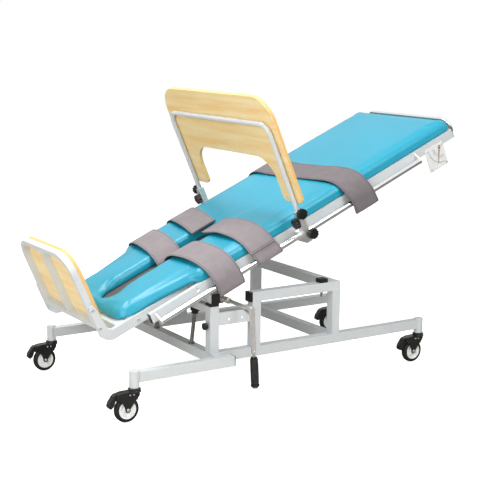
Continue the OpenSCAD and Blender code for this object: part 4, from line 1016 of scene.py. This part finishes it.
class TILT_OT_stage(bpy.types.Operator):
    """The floor, the studio lamps, the backdrop and the camera."""

    bl_idname = "tilt_table.stage"
    bl_label = "Stage"

    def execute(self, context):
        scene = context.scene
        scene.view_settings.view_transform = "Standard"
        self.add_camera(scene)
        self.add_floor()
        self.add_world(scene)
        self.add_lamps()
        return {"FINISHED"}

    def stand(self, obj, x, y, z, at):
        """Puts the object at a point, with its axes along x, y and z."""
        turn = np.eye(4)
        turn[:3] = np.stack([x, y, z, at], axis=1)
        obj.matrix_world = Matrix(turn.tolist())

    def add_camera(self, scene):
        """The camera looks along f, with right and up turned by the roll."""
        yaw, pitch, roll = (math.radians(v) for v in (CAMERA_YAW, CAMERA_PITCH, CAMERA_ROLL))
        f = np.array([math.sin(yaw) * math.cos(pitch), math.cos(yaw) * math.cos(pitch), -math.sin(pitch)])
        r0 = np.array([math.cos(yaw), -math.sin(yaw), 0.0])
        u0 = np.cross(r0, f)
        r = math.cos(roll) * r0 + math.sin(roll) * u0
        u = -math.sin(roll) * r0 + math.cos(roll) * u0
        data = bpy.data.cameras.new("Camera")
        data.sensor_fit = "HORIZONTAL"
        data.sensor_width = SENSOR
        data.lens = SENSOR * CAMERA_FOCAL_PIXELS / PICTURE_PIXELS
        data.clip_end = 60.0
        camera = bpy.data.objects.new("Camera", data)
        scene.collection.objects.link(camera)
        self.stand(camera, r, u, -f, CAMERA_AT)
        scene.camera = camera

    def add_floor(self):
        """A plain pale floor, 16 m square, that glows a little for the camera so that it stays pale."""
        corners = FLOOR_HALF * np.array([[-1, -1, 0], [1, -1, 0], [1, 1, 0], [-1, 1, 0]])
        floor = add_mesh("floor", corners, [[0, 1, 2, 3]])
        material, tree = new_material("Studio floor, matt white")
        path = put(tree, "ShaderNodeLightPath")
        seen = maths(tree, "MULTIPLY", path.outputs["Is Camera Ray"], FLOOR_GLOW)
        glow = put(tree, "ShaderNodeEmission", {"Color": (1, 1, 1, 1), "Strength": seen})
        colour = blended(tree, path.outputs["Is Glossy Ray"], linear("#EBE7DF"), linear("#A9A7A3"))
        matt = put(tree, "ShaderNodeBsdfDiffuse", {"Color": colour, "Roughness": 0.0})
        both = put(tree, "ShaderNodeAddShader", {0: glow.outputs[0], 1: matt.outputs[0]})
        put(tree, "ShaderNodeOutputMaterial", {"Surface": both.outputs[0]})
        paint(floor, material)

    def add_world(self, scene):
        """White for the camera, soft grey light for the object, and for reflections white above a dark
        horizon, which gives the chrome its dark lines. A world's Generated is the ray's direction."""
        world = bpy.data.worlds.new("Studio")
        world.use_nodes = True
        tree = world.node_tree
        tree.nodes.clear()
        path = put(tree, "ShaderNodeLightPath")
        seen = maths(tree, "MAXIMUM", path.outputs["Is Camera Ray"], path.outputs["Is Transmission Ray"])
        direction = put(tree, "ShaderNodeTexCoord").outputs["Generated"]
        height = put(tree, "ShaderNodeSeparateXYZ", {"Vector": direction}).outputs["Z"]
        gloss = path.outputs["Is Glossy Ray"]
        bright = maths(tree, "MULTIPLY", gloss, between(tree, height, *HORIZON))
        soft = maths(tree, "MULTIPLY_ADD", maths(tree, "SUBTRACT", 1.0, gloss), WORLD_LIGHT, bright)
        strength = maths(tree, "MAXIMUM", seen, soft)
        back = put(tree, "ShaderNodeBackground", {"Color": (1, 1, 1, 1), "Strength": strength})
        put(tree, "ShaderNodeOutputWorld", {"Surface": back.outputs[0]})
        scene.world = world

    def add_lamps(self):
        """Four soft boxes: the key over the near side, one at the foot end, a wide fill at the front and
        one over the pad."""
        for name, (at, to, size, power) in LAMPS.items():
            data = bpy.data.lights.new(name, "AREA")
            data.shape = "SQUARE"
            data.size = size
            data.energy = power
            lamp = bpy.data.objects.new(name, data)
            bpy.context.scene.collection.objects.link(lamp)
            z = unit(np.array(at) - np.array(to))
            x = unit(np.cross([0, 0, 1], z))
            self.stand(lamp, x, np.cross(z, x), z, at)


class TILT_PT_panel(bpy.types.Panel):
    """Lists the pieces of the tilt table."""

    bl_idname = "TILT_PT_panel"
    bl_label = "Tilt table"
    bl_space_type = "VIEW_3D"
    bl_region_type = "UI"
    bl_category = "Tilt table"

    def draw(self, context):
        for group in (context.scene.tilt_table_sizes, context.scene.tilt_table_colours):
            for name in group.__annotations__:
                self.layout.prop(group, name)
        for operator in OPERATORS:
            self.layout.operator(operator.bl_idname)


OPERATORS = (TILT_OT_stage, TILT_OT_pad, TILT_OT_straps, TILT_OT_frame, TILT_OT_metal, TILT_OT_boards,
             TILT_OT_black, TILT_OT_casters, TILT_OT_gauge)
CLASSES = (TiltTableColours, TiltTableSizes) + OPERATORS + (TILT_PT_panel,)


def register():
    for item in CLASSES:
        bpy.utils.register_class(item)
    bpy.types.Scene.tilt_table_colours = bpy.props.PointerProperty(type=TiltTableColours)
    bpy.types.Scene.tilt_table_sizes = bpy.props.PointerProperty(type=TiltTableSizes)


def unregister():
    del bpy.types.Scene.tilt_table_sizes
    del bpy.types.Scene.tilt_table_colours
    for item in reversed(CLASSES):
        bpy.utils.unregister_class(item)


def main():
    register()
    for operator in OPERATORS:
        group, name = operator.bl_idname.split(".")
        getattr(getattr(bpy.ops, group), name)()


if __name__ == "__main__":
    main()
